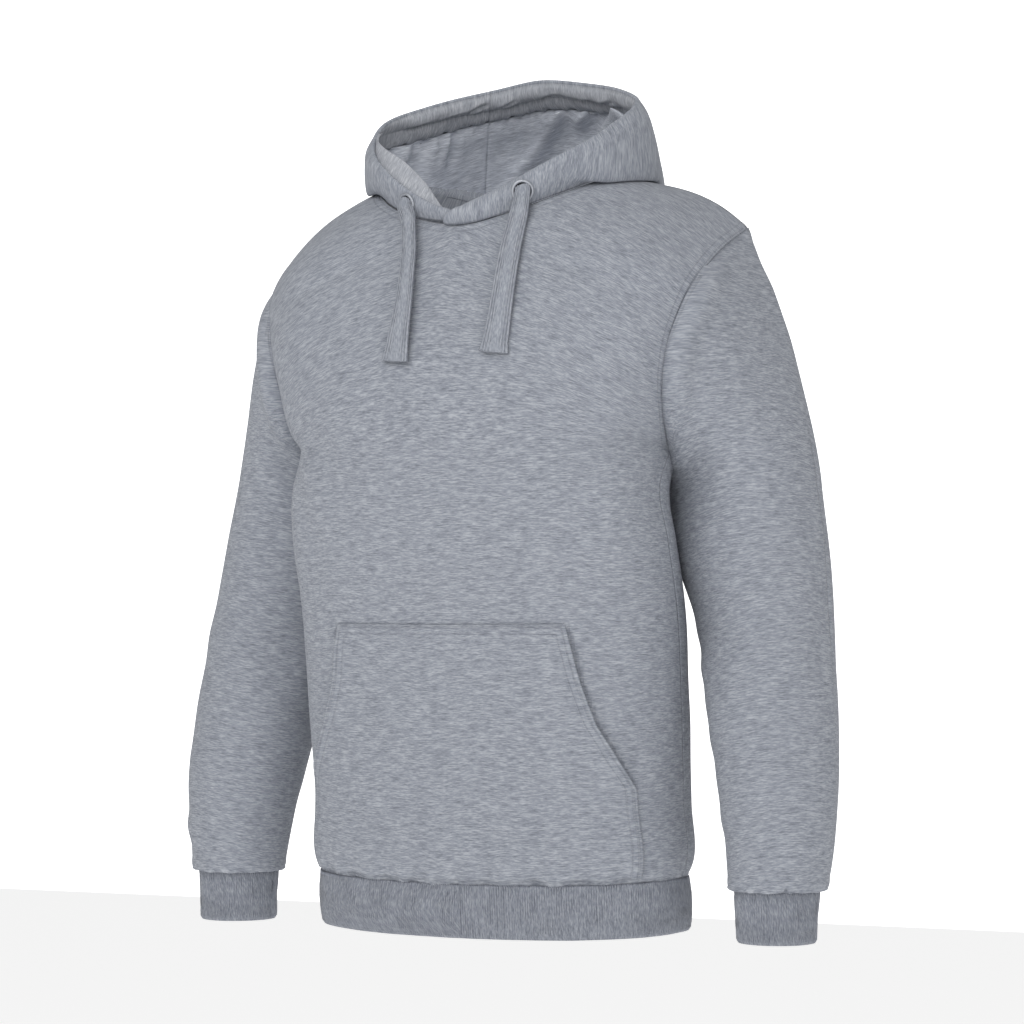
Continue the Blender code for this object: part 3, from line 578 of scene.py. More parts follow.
def add_piece(name, points, quads, uvs, material, replaced, thickness=0.0, seams=None):
    """A cloth piece as an object: its surface, its pattern places in metres as UVs, and how far each
    point lies from a stitched seam, a groove or a line of painted shadow, which its material darkens as
    painted shade. A thickness makes the inside face too."""
    mesh = bpy.data.meshes.new(name)
    mesh.from_pydata(points.tolist(), [], quads.tolist())
    layer = mesh.uv_layers.new(name="pattern")
    layer.data.foreach_set("uv", np.asarray(uvs, np.float32).reshape(-1))
    if seams is not None:
        measured = mesh.attributes.new("groove_and_shade_distance", "FLOAT", "POINT")
        measured.data.foreach_set("value", np.asarray(seams, np.float32))
    mesh.materials.append(material)
    made = add_object(name, mesh, replaced)
    if thickness:
        wall = made.modifiers.new("cloth", "SOLIDIFY")
        wall.thickness = thickness
        wall.offset = -1.0
        wall.use_even_offset = False
    return made


# Shaders.


def group(name, inputs, outputs):
    """A new shader node group with its sockets, and its input and output nodes."""
    tree = bpy.data.node_groups.new(name, "ShaderNodeTree")
    for label, kind, value in inputs:
        socket = tree.interface.new_socket(label, in_out="INPUT", socket_type=kind)
        if value is not None:
            socket.default_value = value
    for label, kind in outputs:
        tree.interface.new_socket(label, in_out="OUTPUT", socket_type=kind)
    return tree, tree.nodes.new("NodeGroupInput"), tree.nodes.new("NodeGroupOutput")


def node(tree, kind, settings=(), **links):
    """A node with its settings, and its inputs linked or set by socket name or number."""
    made = tree.nodes.new(kind)
    for key, value in dict(settings).items():
        setattr(made, key, value)
    for key, value in links.items():
        socket = made.inputs[int(key[1:]) if key[0] == "_" and key[1:].isdigit() else key.replace("_", " ")]
        if isinstance(value, bpy.types.NodeSocket):
            tree.links.new(value, socket)
        else:
            socket.default_value = value
    return made


def maths(tree, operation, first, second=0.0, third=0.0, clamp=False):
    settings = {"operation": operation, "use_clamp": clamp}
    return node(tree, "ShaderNodeMath", settings, _0=first, _1=second, _2=third).outputs[0]


def noise(tree, place, scale, detail, **more):
    """Flat noise at a place, from 0 to 1."""
    flat = {"noise_dimensions": "2D"}
    made = node(tree, "ShaderNodeTexNoise", flat, Vector=place, Scale=scale, Detail=detail, **more)
    return made.outputs["Fac"]


def mixed_colours(tree, share, first, second, **settings):
    """A mix of two colours, by a share from 0 to 1."""
    settings = {"data_type": "RGBA", **settings}
    return node(tree, "ShaderNodeMix", settings, Factor=share, _6=first, _7=second).outputs[2]


WALE = 0.0011
COURSE = 0.0010


def marl_group():
    """Marl yarn: fine streaks of dark and light fibres along the courses, and the knit's relief."""
    tree, given, out = group("Marl knit", [
        ("Dark", "NodeSocketColor", (0.16, 0.18, 0.21, 1)),
        ("Middle", "NodeSocketColor", (0.30, 0.32, 0.37, 1)),
        ("Light", "NodeSocketColor", (0.50, 0.52, 0.56, 1)),
        ("Streak length", "NodeSocketFloat", 0.011),
        ("Streak width", "NodeSocketFloat", 0.0016),
        ("Contrast", "NodeSocketFloat", 1.0),
        ("Seam shade", "NodeSocketFloat", 0.5),
    ], [("Color", "NodeSocketColor"), ("Height", "NodeSocketFloat"), ("Seam", "NodeSocketFloat")])
    given = given.outputs
    place = node(tree, "ShaderNodeUVMap", {"uv_map": "pattern"}).outputs[0]
    split = node(tree, "ShaderNodeSeparateXYZ", _0=place)
    along, up = split.outputs[0], split.outputs[1]
    # The courses waver a little, so that no streak runs dead straight.
    bend = maths(tree, "MULTIPLY_ADD", noise(tree, place, 14.0, 1.0), 0.006, up)
    streaks = []
    for longer, wider, detail in ((1.0, 1.0, 1.5), (0.4, 0.55, 1.0), (2.4, 4.2, 1.5)):
        across = maths(tree, "DIVIDE", along, maths(tree, "MULTIPLY", given["Streak length"], longer))
        over = maths(tree, "DIVIDE", bend, maths(tree, "MULTIPLY", given["Streak width"], wider))
        spot = node(tree, "ShaderNodeCombineXYZ", _0=across, _1=over).outputs[0]
        streaks.append(maths(tree, "SUBTRACT", noise(tree, spot, 1.0, detail, Roughness=0.6), 0.5))
    marl = maths(tree, "MULTIPLY_ADD", streaks[1], 0.55, streaks[0])
    marl = maths(tree, "MULTIPLY_ADD", streaks[2], 0.50, marl)
    marl = maths(tree, "MULTIPLY_ADD", marl, given["Contrast"], 0.5, clamp=True)
    low = maths(tree, "MULTIPLY", marl, 2.0, clamp=True)
    high = maths(tree, "MULTIPLY_ADD", marl, 2.0, -1.0, clamp=True)
    colour = mixed_colours(tree, low, given["Dark"], given["Middle"])
    colour = mixed_colours(tree, high, colour, given["Light"])
    # Wales and courses of the knit, each loop about a millimetre.
    wales = maths(tree, "SINE", maths(tree, "MULTIPLY", along, 2 * math.pi / WALE))
    slope = maths(tree, "ABSOLUTE", wales)
    courses = maths(tree, "MULTIPLY_ADD", slope, 1.6, maths(tree, "MULTIPLY", bend, 2 * math.pi / COURSE))
    loops = maths(tree, "MULTIPLY_ADD", maths(tree, "SINE", courses), 0.5, 0.5)
    height = maths(tree, "MULTIPLY_ADD", slope, 0.5, maths(tree, "MULTIPLY", loops, 0.5))
    height = maths(tree, "MULTIPLY_ADD", marl, 0.8, height)
    # The seam's own groove and the twin needle's two rows beside it, darkened as painted shade.
    seam = node(tree, "ShaderNodeAttribute", {"attribute_name": "groove_and_shade_distance"}).outputs["Fac"]
    groove = None
    for centre, wide, deep in ((0.0, 0.0012, 1.0), *((row, 0.0009, 0.50) for row in TOPSTITCHES)):
        gap = maths(tree, "DIVIDE", maths(tree, "SUBTRACT", seam, centre), wide)
        falling = maths(tree, "MULTIPLY", maths(tree, "MULTIPLY", gap, gap), -1.0)
        line = maths(tree, "MULTIPLY", maths(tree, "POWER", 2.718, falling), deep)
        groove = line if groove is None else maths(tree, "MAXIMUM", groove, line)
    shade = maths(tree, "MULTIPLY", groove, given["Seam shade"], clamp=True)
    colour = mixed_colours(tree, shade, colour, (0.45, 0.45, 0.48, 1), blend_type="MULTIPLY")
    tree.links.new(colour, out.inputs["Color"])
    tree.links.new(height, out.inputs["Height"])
    tree.links.new(groove, out.inputs["Seam"])
    return tree


def cloth_material(name, marl, looks, streak, tint=(1.0, 1.0, 1.0), contrast=1.0, bump=0.00022,
                   seam_shade=0.5):
    """A fleece or ribbing material around the marl group."""
    made = bpy.data.materials.new(name)
    made.use_nodes = True
    tree = made.node_tree
    shader = tree.nodes["Principled BSDF"]
    knit = tree.nodes.new("ShaderNodeGroup")
    knit.node_tree = marl
    colours = {"Dark": looks.marl_dark, "Middle": looks.marl_middle, "Light": looks.marl_light}
    for label, colour in colours.items():
        knit.inputs[label].default_value = (*(c * t for c, t in zip(colour, tint)), 1.0)
    knit.inputs["Streak length"].default_value = streak[0]
    knit.inputs["Streak width"].default_value = streak[1]
    knit.inputs["Contrast"].default_value = contrast * looks.marl_contrast
    knit.inputs["Seam shade"].default_value = seam_shade
    fine = node(tree, "ShaderNodeBump", Strength=0.55, Distance=bump, Height=knit.outputs["Height"])
    stitched = node(tree, "ShaderNodeBump", {"invert": True}, Strength=0.8, Distance=0.0008,
                    Height=knit.outputs["Seam"], Normal=fine.outputs[0])
    tree.links.new(knit.outputs["Color"], shader.inputs["Base Color"])
    tree.links.new(stitched.outputs[0], shader.inputs["Normal"])
    gloss = maths(tree, "MULTIPLY_ADD", knit.outputs["Height"], 0.08, 0.88)
    tree.links.new(gloss, shader.inputs["Roughness"])
    shader.inputs["Specular IOR Level"].default_value = 0.15
    shader.inputs["Sheen Weight"].default_value = 0.12
    shader.inputs["Sheen Roughness"].default_value = 0.6
    return made


def plain_material(name, colour, roughness, metallic=0.0, emission=0.0):
    """Metal, thread or paint with a fine grain in its gloss."""
    made = bpy.data.materials.new(name)
    made.use_nodes = True
    tree = made.node_tree
    shader = tree.nodes["Principled BSDF"]
    place = node(tree, "ShaderNodeTexCoord")
    grain = node(tree, "ShaderNodeTexNoise", Vector=place.outputs["Object"], Scale=900.0, Detail=2.0)
    spread = maths(tree, "MULTIPLY_ADD", grain.outputs["Fac"], 0.16, roughness - 0.08)
    tree.links.new(spread, shader.inputs["Roughness"])
    shader.inputs["Base Color"].default_value = (*colour, 1.0)
    shader.inputs["Metallic"].default_value = metallic
    if emission:
        shader.inputs["Emission Color"].default_value = (*colour, 1.0)
        shader.inputs["Emission Strength"].default_value = emission
    return made


# What a user would change.


class HoodieSizes(bpy.types.PropertyGroup):
    """Sizes of the cloth and its details."""

    cloth: bpy.props.FloatProperty(
        name="Fleece thickness", description="Thickness of the body, sleeves and pocket",
        default=0.0020, min=0.0005, max=0.004, unit="LENGTH", precision=4)
    ribbing: bpy.props.FloatProperty(
        name="Ribbing thickness", description="Thickness of the cuffs and hem band",
        default=0.0024, min=0.0005, max=0.004, unit="LENGTH", precision=4)
    hood_cloth: bpy.props.FloatProperty(
        name="Hood cloth thickness", description="Thickness of the hood shell and its lining",
        default=0.0013, min=0.0005, max=0.003, unit="LENGTH", precision=4)
    crease: bpy.props.FloatProperty(
        name="Crease depth", description="Scale of the depth of every crease",
        default=1.0, min=0.0, max=2.0)
    hem_ribs: bpy.props.IntProperty(
        name="Hem ribs", description="Number of ribs round the hem band", default=400, min=60, max=480)
    cuff_ribs: bpy.props.IntProperty(
        name="Cuff ribs", description="Number of ribs round each cuff", default=100, min=24, max=120)
    rib_height: bpy.props.FloatProperty(
        name="Rib height", description="How far each rib stands up", default=0.0010, min=0.0, max=0.002,
        unit="LENGTH", precision=4)
    spacing: bpy.props.FloatProperty(
        name="Mesh spacing", description="Distance between the points of the cloth",
        default=0.0035, min=0.002, max=0.02, unit="LENGTH", precision=4)
    stitch: bpy.props.FloatProperty(
        name="Stitch length", description="Length of one stitch of the top stitching",
        default=0.0028, min=0.001, max=0.008, unit="LENGTH", precision=4)
    thread: bpy.props.FloatProperty(
        name="Thread thickness", description="Diameter of the top stitching's thread",
        default=0.00055, min=0.0002, max=0.002, unit="LENGTH", precision=5)


class HoodieLooks(bpy.types.PropertyGroup):
    """Colours of the yarns, thread and eyelets."""

    marl_dark: bpy.props.FloatVectorProperty(
        name="Dark fibre", description="Darkest fibre of the marl", subtype="COLOR", size=3,
        default=(0.190, 0.205, 0.240), min=0.0, max=1.0)
    marl_middle: bpy.props.FloatVectorProperty(
        name="Middle fibre", description="Main fibre of the marl", subtype="COLOR", size=3,
        default=(0.300, 0.320, 0.365), min=0.0, max=1.0)
    marl_light: bpy.props.FloatVectorProperty(
        name="Light fibre", description="Lightest fibre of the marl", subtype="COLOR", size=3,
        default=(0.455, 0.475, 0.515), min=0.0, max=1.0)
    marl_contrast: bpy.props.FloatProperty(
        name="Marl contrast", description="How far the streaks part from the middle fibre",
        default=1.45, min=0.0, max=4.0)
    thread: bpy.props.FloatVectorProperty(
        name="Thread", description="Colour of the top stitching", subtype="COLOR", size=3,
        default=(0.330, 0.350, 0.390), min=0.0, max=1.0)
    metal: bpy.props.FloatVectorProperty(
        name="Eyelet metal", description="Colour of the pressed eyelets", subtype="COLOR", size=3,
        default=(0.46, 0.48, 0.52), min=0.0, max=1.0)


class StudioSettings(bpy.types.PropertyGroup):
    """The floor, the lights and the camera."""

    floor_drop: bpy.props.FloatProperty(
        name="Floor below the hem", description="How far the floor lies under the garment",
        default=0.90, min=0.0, max=3.0, unit="LENGTH")
    azimuth: bpy.props.FloatProperty(
        name="Camera azimuth", description="Angle of the camera to the wearer's left of straight ahead",
        default=math.radians(25.0), subtype="ANGLE")
    distance: bpy.props.FloatProperty(
        name="Camera distance", description="Distance from the camera to the body's axis",
        default=3.2, min=0.5, max=20.0, unit="LENGTH")
    height: bpy.props.FloatProperty(
        name="Camera height", description="Height of the camera", default=-0.4126, unit="LENGTH")
    lens: bpy.props.FloatProperty(
        name="Focal length", description="Focal length on a 36 mm wide sensor, in millimetres", default=115.9)
    key: bpy.props.FloatProperty(
        name="Key light", description="Power of the key light, in watts", default=29.0, min=0.0)
    front: bpy.props.FloatProperty(
        name="Front light", description="Power of the low light in front, in watts", default=13.0, min=0.0)
    surround: bpy.props.FloatProperty(
        name="Surround", description="Strength of the even light all round", default=0.38, min=0.0)


def sizes():
    return bpy.context.scene.hoodie_sizes


def looks():
    return bpy.context.scene.hoodie_looks


def fleece(name="body_marl", **changes):
    """The marl material of this name, made once."""
    found = bpy.data.materials.get(name)
    if found:
        return found
    marl = bpy.data.node_groups.get("Marl knit") or marl_group()
    return cloth_material(name, marl, looks(), changes.pop("streak", (0.0095, 0.0011)), **changes)


def armhole_line(side):
    """The armhole seam as a fine line, from the shoulder down the front and up the back."""
    front = smooth(ARMHOLE_FRONT, np.linspace(1.0, 0.0, 240))
    back = smooth(ARMHOLE_BACK, np.linspace(0.0, 1.0, 240))
    line = np.concatenate([front, back[1:]])
    return fine_line(line if side > 0 else mirrored(line))


def neck_line():
    return fine_line([round_neck(angle) for angle in np.linspace(0.0, 360.0, 241)])


def shoulder_line():
    return fine_line(bezier(yoke_row(-1, 1.0), np.linspace(0.0, 1.0, 120)))


def side_line():
    return fine_line([body_row(-1, height)[3] for height in np.linspace(HEM_SEAM, ARMPIT, 160)])


def hem_line():
    half = [bezier(body_row(facing, HEM_SEAM), np.linspace(0.0, 1.0, 200)) for facing in (-1, 1)]
    return fine_line(np.concatenate([half[0], half[1][::-1], mirrored(half[1]), mirrored(half[0])[::-1]]))


HEM_GATHERS = [
    # x, width and depth of a small pucker over the hem band
    (-0.150, 0.0068, 0.0024), (-0.118, 0.0102, 0.00288), (-0.078, 0.00595, 0.00384),
    (-0.066, 0.0051, 0.00432), (-0.049, 0.00765, 0.0048), (-0.033, 0.0051, 0.00384),
    (-0.021, 0.00595, 0.00432), (-0.004, 0.0068, 0.00336), (0.030, 0.0068, 0.00192),
    (0.078, 0.00595, 0.00432), (0.088, 0.0051, 0.00288), (0.124, 0.0085, 0.00192),
    (0.158, 0.00595, 0.00336), (0.173, 0.0051, 0.00384), (0.184, 0.00595, 0.00336),
]


def torso_relief(facing, points):
    """Creases of the front or back, and the gathers over the hem band."""
    flat = points[:, [0, 2]]
    scale = sizes().crease
    relief = folded_relief(flat, FRONT_FOLDS if facing < 0 else BACK_FOLDS, scale)
    relief += drift(flat, 0.16, 0.4 if facing < 0 else 1.9) * 0.0012 * scale
    over_hem = points[:, 2] - (HEM_SEAM - HEM_DIP * (1 - (points[:, 0] / 0.19) ** 2).clip(0, 1))
    gathers = np.zeros(len(points))
    for x, width, depth in HEM_GATHERS:
        away = points[:, 0] - (x if facing < 0 else -x * 0.93 + 0.004)
        gathers += depth * (1.2 * bell(away - 2.2 * width, 1.6 * width) - bell(away, width))
    near_hem = np.exp(-np.maximum(over_hem, 0.0) / HEM_SPREAD) * ramp(over_hem, -0.002, 0.004)
    return relief + gathers * near_hem


def fall_in_at_hem(points):
    """How far the body falls in over the hem band."""
    return HEM_FALL * ramp(-points[:, 2], 0.60, 0.655)


def torso_surface(facing):
    """The front or back in one surface, with each shoulder's part above the neck point added to it."""
    lower, upper = torso_grids(facing, 74, sizes().spacing)
    both = np.concatenate([mirrored(lower[:, :0:-1]), lower], axis=1)
    if facing > 0:
        both = both[:, ::-1]
    across = run_of(both, 1)
    across -= across[:, [both.shape[1] // 2]]
    rise = mean_rise(both)
    up = np.repeat(rise[:, None], both.shape[1], axis=1)
    grids = [(both, np.stack([across, up], axis=2))]
    over = rise[-1] + mean_rise(upper)
    for side in (1, -1):
        half = upper if side > 0 else mirrored(upper)
        along = run_of(upper, 1)
        along = (along - along[:, [-1]] + across[-1, -1]) * side * -facing
        place = np.stack([along, np.repeat(over[:, None], half.shape[1], axis=1)], axis=2)
        if side * -facing < 0:
            half = half[:, ::-1]
            place = place[:, ::-1]
        grids.append((half, place))
    return piece_of_grids(grids)[:3]


def make_torso(facing, name):
    """The front or the back, creased, turned in at its seams and tucked in behind the hem band."""
    points, quads, uvs = torso_surface(facing)
    armholes = distance_to_both(points, armhole_line(1))
    hem = distance_to(points, hem_line())
    neck = distance_to(points, neck_line())
    seams = np.minimum(armholes + 0.0004, neck)
    plain = np.minimum(distance_to_both(points, shoulder_line()), distance_to_both(points, side_line()))
    edge = np.minimum(seams, plain)
    relief = torso_relief(facing, points) * ramp(edge, 0.0, SEAM_REACH) * ramp(hem, 0.0, 0.004) ** 0.5
    relief += 0.0005 * bell(armholes - 0.006, 0.005) - 0.0006 * bell(neck, 0.0030)
    relief -= 0.0004 * bell(hem, 0.0025) + fall_in_at_hem(points)
    points = points + normals_of(points, quads) * relief[:, None]
    points[:, 2] -= HEM_TUCK * (1 - ramp(hem, 0.0, 0.0015))
    angle = np.degrees(np.arctan2(points[:, 0], -points[:, 1]))
    points[:, 2] += neck_lift(angle, distance_to(points, neck_line()))
    seams = np.minimum(seams, np.where(hem < 0.0020, hem + 0.0006, 1.0))
    if facing < 0:
        # A soft shadow is painted on the front beside each mouth of the pocket, through the seam shading.
        mouth = pocket_outline(-0.0022)
        mouth = mouth[(mouth[:, 2] > POCKET_CORNER) & (mouth[:, 2] < POCKET_TOP - 0.004)]
        mouth = distance_to_both(points, fine_line(mouth))
        seams = np.minimum(seams, np.where(mouth < 0.0040, mouth * 0.45, 1.0))
    return add_piece(name, points, quads, uvs, fleece(), [name.split("_")[0]], sizes().cloth, seams)


def sleeve_ring(length, around):
    """Points round the sleeve below its cap at turns from the outside over the front."""
    x, y, z, half_width, half_depth = smooth(SLEEVE_RINGS, length)
    side = half_width * np.cos(around)
    lean = SLEEVE_LEAN * (1 - length)
    return np.stack([x + side, y - half_depth * np.sin(around), z + lean * side], axis=-1)


def sleeve_rows(count, spacing):
    """The wearer's left sleeve, from the armhole to the cuff seam; the first column comes twice."""
    half = count // 2
    front = smooth(ARMHOLE_FRONT, np.linspace(1.0, 0.0, half + 1))
    back = smooth(ARMHOLE_BACK, np.linspace(0.0, 1.0, half + 1))
    start = np.concatenate([front, back[1:]])
    turns = np.linspace(0.0, 2 * math.pi, count + 1)
    end = sleeve_ring(0.0, turns)
    pull = smooth(CAP_PULL, np.degrees(turns))
    arriving = CAP_END_PULL * (0.45 + 0.55 * (1 + np.cos(turns[:, None])) / 2)
    rows = []
    for t in np.linspace(0.0, 1.0, int(0.17 / spacing)):
        a, b, c = (1 - t) ** 3, 3 * (1 - t) ** 2 * t, 3 * (1 - t) * t**2
        rows.append(a * start + b * (start + pull / 3) + c * (end - arriving / 3) + t**3 * end)
    lengths = np.concatenate([
        np.linspace(0.0, 0.88, int(0.33 / spacing))[1:],
        np.linspace(0.88, 1.0, 26)[1:],
    ])
    rows += [sleeve_ring(length, turns) for length in lengths]
    return np.array(rows)


# Up along the sleeve's own line, which its knit rows cross squarely.
SLEEVE_RISE = np.array([-0.12, 0.10, 1.0])
SLEEVE_COLUMNS = 128
SLEEVE_ROUND = 0.42  # metres of cloth round the sleeve, for placing its creases
CUFF_TUCKS = [
    # turn from the outside over the front in degrees, width in degrees and depth of a pucker
    (-18, 5.0, 0.00060), (12, 3.5, 0.00096), (38, 6.0, 0.00072), (54, 3.2, 0.00240), (83, 4.5, 0.00084),
    (104, 3.5, 0.00120), (133, 5.0, 0.00084), (160, 4.0, 0.00132), (196, 4.5, 0.00120), (228, 4.0, 0.00144),
    (262, 5.0, 0.00108), (291, 4.0, 0.00132), (322, 5.0, 0.00096),
]
SLEEVE_TAKEN_IN = {
    # for each side, height and how far the outside of the sleeve lies in from its pattern
    1: [
        (-0.670, 0.001), (-0.600, 0.0035), (-0.300, 0.0045), (-0.160, 0.003), (-0.110, 0.005),
        (-0.085, 0.008), (-0.065, 0.009), (-0.055, 0.004), (-0.050, 0.0),
    ],
    -1: [
        (-0.670, 0.001), (-0.600, 0.002), (-0.240, 0.003), (-0.200, 0.005), (-0.160, 0.0065),
        (-0.140, 0.009), (-0.120, 0.012), (-0.100, 0.011), (-0.080, 0.006), (-0.060, 0.003),
        (-0.050, 0.0),
    ],
}


def sleeve_form(side):
    """Rows round the wearer's left sleeve, drawn in where the cloth hangs closer than its pattern."""
    turns = np.linspace(0.0, 360.0, SLEEVE_COLUMNS + 1)
    rows = sleeve_rows(SLEEVE_COLUMNS, sizes().spacing * 1.08)
    height = rows[:, :, 2]
    centre = rows[:, :-1].mean(axis=1, keepdims=True)
    narrow = CUFF_NARROWING * ramp(-height, 0.56, 0.655) * (1 - 0.6 * ramp(-height, 0.6735, 0.6755))
    rows = centre + (rows - centre) * (1 - narrow)[..., None]
    outside = (1 + np.cos(np.radians(turns))) / 2
    outside = outside * (0.55 + 0.45 * ramp(np.linalg.norm(rows - rows[:1], axis=2), 0.0, 0.045))
    rows[:, :, 0] -= outside * np.interp(height, *np.array(SLEEVE_TAKEN_IN[side]).T)
    close = ramp(-height, 0.240, 0.300) * (1 - ramp(-height, 0.340, 0.440))
    rows[:, :, 0] -= ARMPIT_CLOSE * close * bell(turns - 150.0, 48.0)
    hollow = ramp(-height, 0.235, 0.300) * (1 - ramp(-height, 0.42, 0.52))
    rows[:, :, 1] += ARMPIT_HOLLOW * hollow * bell(turns - 140.0, 45.0)
    return rows


def sleeve_relief(side, points, arm_seam, over_cuff):
    """Creases of a sleeve, placed by the turn round it and the height, and the tucks over its cuff."""
    scale = sizes().crease
    rings = np.array(SLEEVE_RINGS)
    centre = smooth(SLEEVE_RINGS, np.interp(-points[:, 2], -rings[:, 3], rings[:, 0]))
    turn = np.degrees(np.arctan2(-(points[:, 1] - centre[:, 1]), points[:, 0] - centre[:, 0])) % 360.0
    flat = np.stack([turn / 360.0 * SLEEVE_ROUND, points[:, 2] - 0.05 * (points[:, 0] - 0.28)], axis=1)
    relief = folded_relief(flat, SLEEVE_FOLDS, scale * (1.0 if side > 0 else 0.85))
    relief += drift(flat, 0.13, 1.1 if side > 0 else 2.6) * 0.0011 * scale * ramp(flat[:, 1], 0.0, -0.15)
    tucks = np.zeros(len(points))
    for at, width, depth in CUFF_TUCKS:
        at = at if side > 0 else -at * 0.93 + 20
        away = (turn - at + 180.0) % 360.0 - 180.0
        tucks += depth * (0.8 * bell(away - 2.0 * width, 1.5 * width) - bell(away, width))
    relief += tucks * np.exp(-over_cuff / 0.011) * ramp(over_cuff, 0.0, 0.004)
    relief *= ramp(arm_seam, 0.0, SEAM_REACH) ** 0.5
    # The inside of the sleeve hangs smooth.
    relief *= 0.4 + 0.6 * (1 + np.cos(np.radians(turn))) / 2
    # In front the sleeve falls back from the armhole, so that the body's edge stands over it.
    in_front = ramp(-points[:, 1], -0.02, 0.03) * ramp(-points[:, 2], 0.085, 0.125)
    return relief - 0.0060 * bell(arm_seam - 0.013, 0.011) * in_front


def make_sleeve(side, name):
    """A sleeve, made as the wearer's left one and mirrored for the right."""
    rows = sleeve_form(side)
    around = run_of(rows, 1)
    cloth_round = np.interp(rows[:, :, 2].mean(axis=1), [CUFF_END, ARMPIT], [0.30, 0.46])
    around = around / around[:, [-1]] * np.repeat(cloth_round[:, None], SLEEVE_COLUMNS + 1, axis=1)
    place = np.stack([around, rows @ SLEEVE_RISE], axis=2)
    points, quads, uvs, _ = piece_of_grids([(rows[:, ::-1], place[:, ::-1])])
    arm_seam = distance_to(points, armhole_line(1))
    over_cuff = distance_to(points, fine_line(rows[-1]))
    relief = sleeve_relief(side, points, arm_seam, over_cuff)
    points = points + normals_of(points, quads) * relief[:, None]
    if side < 0:
        points = mirrored(points)
        quads = quads[:, ::-1]
        uvs = uvs[:, ::-1]
    seams = np.minimum(arm_seam, over_cuff)
    seams = np.where(seams < 0.0022, seams + 0.0006, 0.02)
    material = fleece("sleeve_marl")
    return add_piece(f"sleeve_{name}_cloth", points, quads, uvs, material, [f"sleeve_{name}"],
                     sizes().cloth, seams)


# The rings of the ribbing, as parts of its height, lie closer at its edges.
RIB_ROWS = np.array([0.0, 0.02, 0.06, 0.15, 0.30, 0.50, 0.70, 0.85, 0.94, 0.98, 1.0])


def ribbed_tube(name, rings, ribs, height, seed):
    """A tube of ribbing: rings from the lower edge up, with rounded ribs all round."""
    rings = np.concatenate([rings, rings[:, :1]], axis=1)
    around = run_of(rings, 1)
    up = mean_rise(rings)
    place = np.stack([around, np.repeat(up[:, None], rings.shape[1], axis=1)], axis=2)
    points, quads, uvs, places = piece_of_grids([(rings, place)])
    low, high = places[:, 1], up[-1] - places[:, 1]
    rib = np.abs(np.cos(math.pi * (places[:, 0] / around[0, -1] * ribs))) ** 1.1
    relief = (rib - 0.5) * height * ramp(low, 0.0, 0.003)
    relief -= 0.0011 * (1 - ramp(low, 0.0, 0.0022)) + 0.0003 * (1 - ramp(high, 0.0, 0.003))
    relief += drift(places * [1, 2], 0.07, seed) * 0.0009
    points = points + normals_of(points, quads) * relief[:, None]
    # Painted shade darkens the valleys between the ribs, and the band's top seam.
    seams = np.minimum(np.maximum(high, 0.0), 0.0004 + 0.0026 * rib)
    tint = (0.98, 0.98, 0.99)
    material = fleece("rib_marl", streak=(0.0014, 0.0060), tint=tint, contrast=0.9, seam_shade=0.62)
    return add_piece(f"{name}_rib", points, quads, uvs, material, [name], sizes().ribbing, seams)


def hem_rings():
    """Rings of evenly spaced points round the hem band."""
    count = sizes().hem_ribs * 4
    rings = []
    for height in HEM_END + RIB_ROWS * (HEM_SECTIONS[-1][0] - HEM_END):
        half = [bezier(hem_row(facing, height), np.linspace(0.0, 1.0, 300)) for facing in (-1, 1)]
        line = np.concatenate([half[0], half[1][::-1], mirrored(half[1])[1:], mirrored(half[0])[::-1][1:]])
        run = run_of(line, 0)
        at = np.linspace(0.0, run[-1], count + 1)[:-1]
        rings.append(np.stack([np.interp(at, run, line[:, k]) for k in range(3)], axis=1))
    return np.array(rings)


def cuff_rings(side):
    """Rings of evenly turned points round a cuff."""
    count = sizes().cuff_ribs * 4
    turn = np.linspace(0.0, 2 * math.pi, count + 1)[:-1]
    rings = []
    for height in CUFF_END + RIB_ROWS * (CUFF_RINGS[-1][0] - CUFF_END):
        x, y, half_width, half_depth = smooth(CUFF_RINGS, height)
        ring = [side * x + half_width * np.cos(turn), y + half_depth * np.sin(turn), np.full(count, height)]
        rings.append(np.stack(ring, axis=1))
    return np.array(rings)


def make_pocket():
    """The pocket, made from the front's own points and moved out; its mouths stand a little open."""
    cloth = sizes().cloth
    heights = np.linspace(-0.6655, POCKET_TOP, 84)
    across = np.linspace(-1.0, 1.0, 141)
    edges = np.interp(heights, *np.array(POCKET_EDGE).T)
    rows = []
    for height, edge in zip(heights, edges):
        row = bezier(body_row(-1, height), np.abs(across) * edge)
        row[:, 0] *= np.sign(across)
        rows.append(row)
    rows = np.array(rows)
    up = np.repeat(np.abs(heights - HEM_SEAM)[:, None], len(across), axis=1)
    along = run_of(rows, 1)
    along -= along[:, [len(across) // 2]]
    points, quads, uvs, place = piece_of_grids([(rows, np.stack([along, up], axis=2))])
    height = points[:, 2]
    inward = np.interp(height, heights, along[:, -1]) - np.abs(place[:, 0])
    mouth = ramp(height, -0.585, -0.560) * (1 - ramp(height, -0.455, -0.435))
    mouth = mouth * (0.0030 + 0.0022 * ramp(-height, 0.48, 0.56))
    relief = torso_relief(-1, points) - fall_in_at_hem(points)
    relief += cloth + 0.0009 + mouth * np.exp(-inward / 0.010)
    top = POCKET_TOP - height
    rim = np.minimum(inward, np.maximum(top, 0.0))
    relief += 0.0004 * bell(rim - 0.004, 0.004) - 0.0019 * bell(top, 0.0045)
    points = points + normals_of(points, quads) * relief[:, None]
    seams = np.where(rim < 0.0032, 0.02, rim - 0.0016)
    material = fleece("pocket_marl")
    return add_piece("pocket_cloth", points, quads, uvs, material, ["pocket"], cloth, seams)


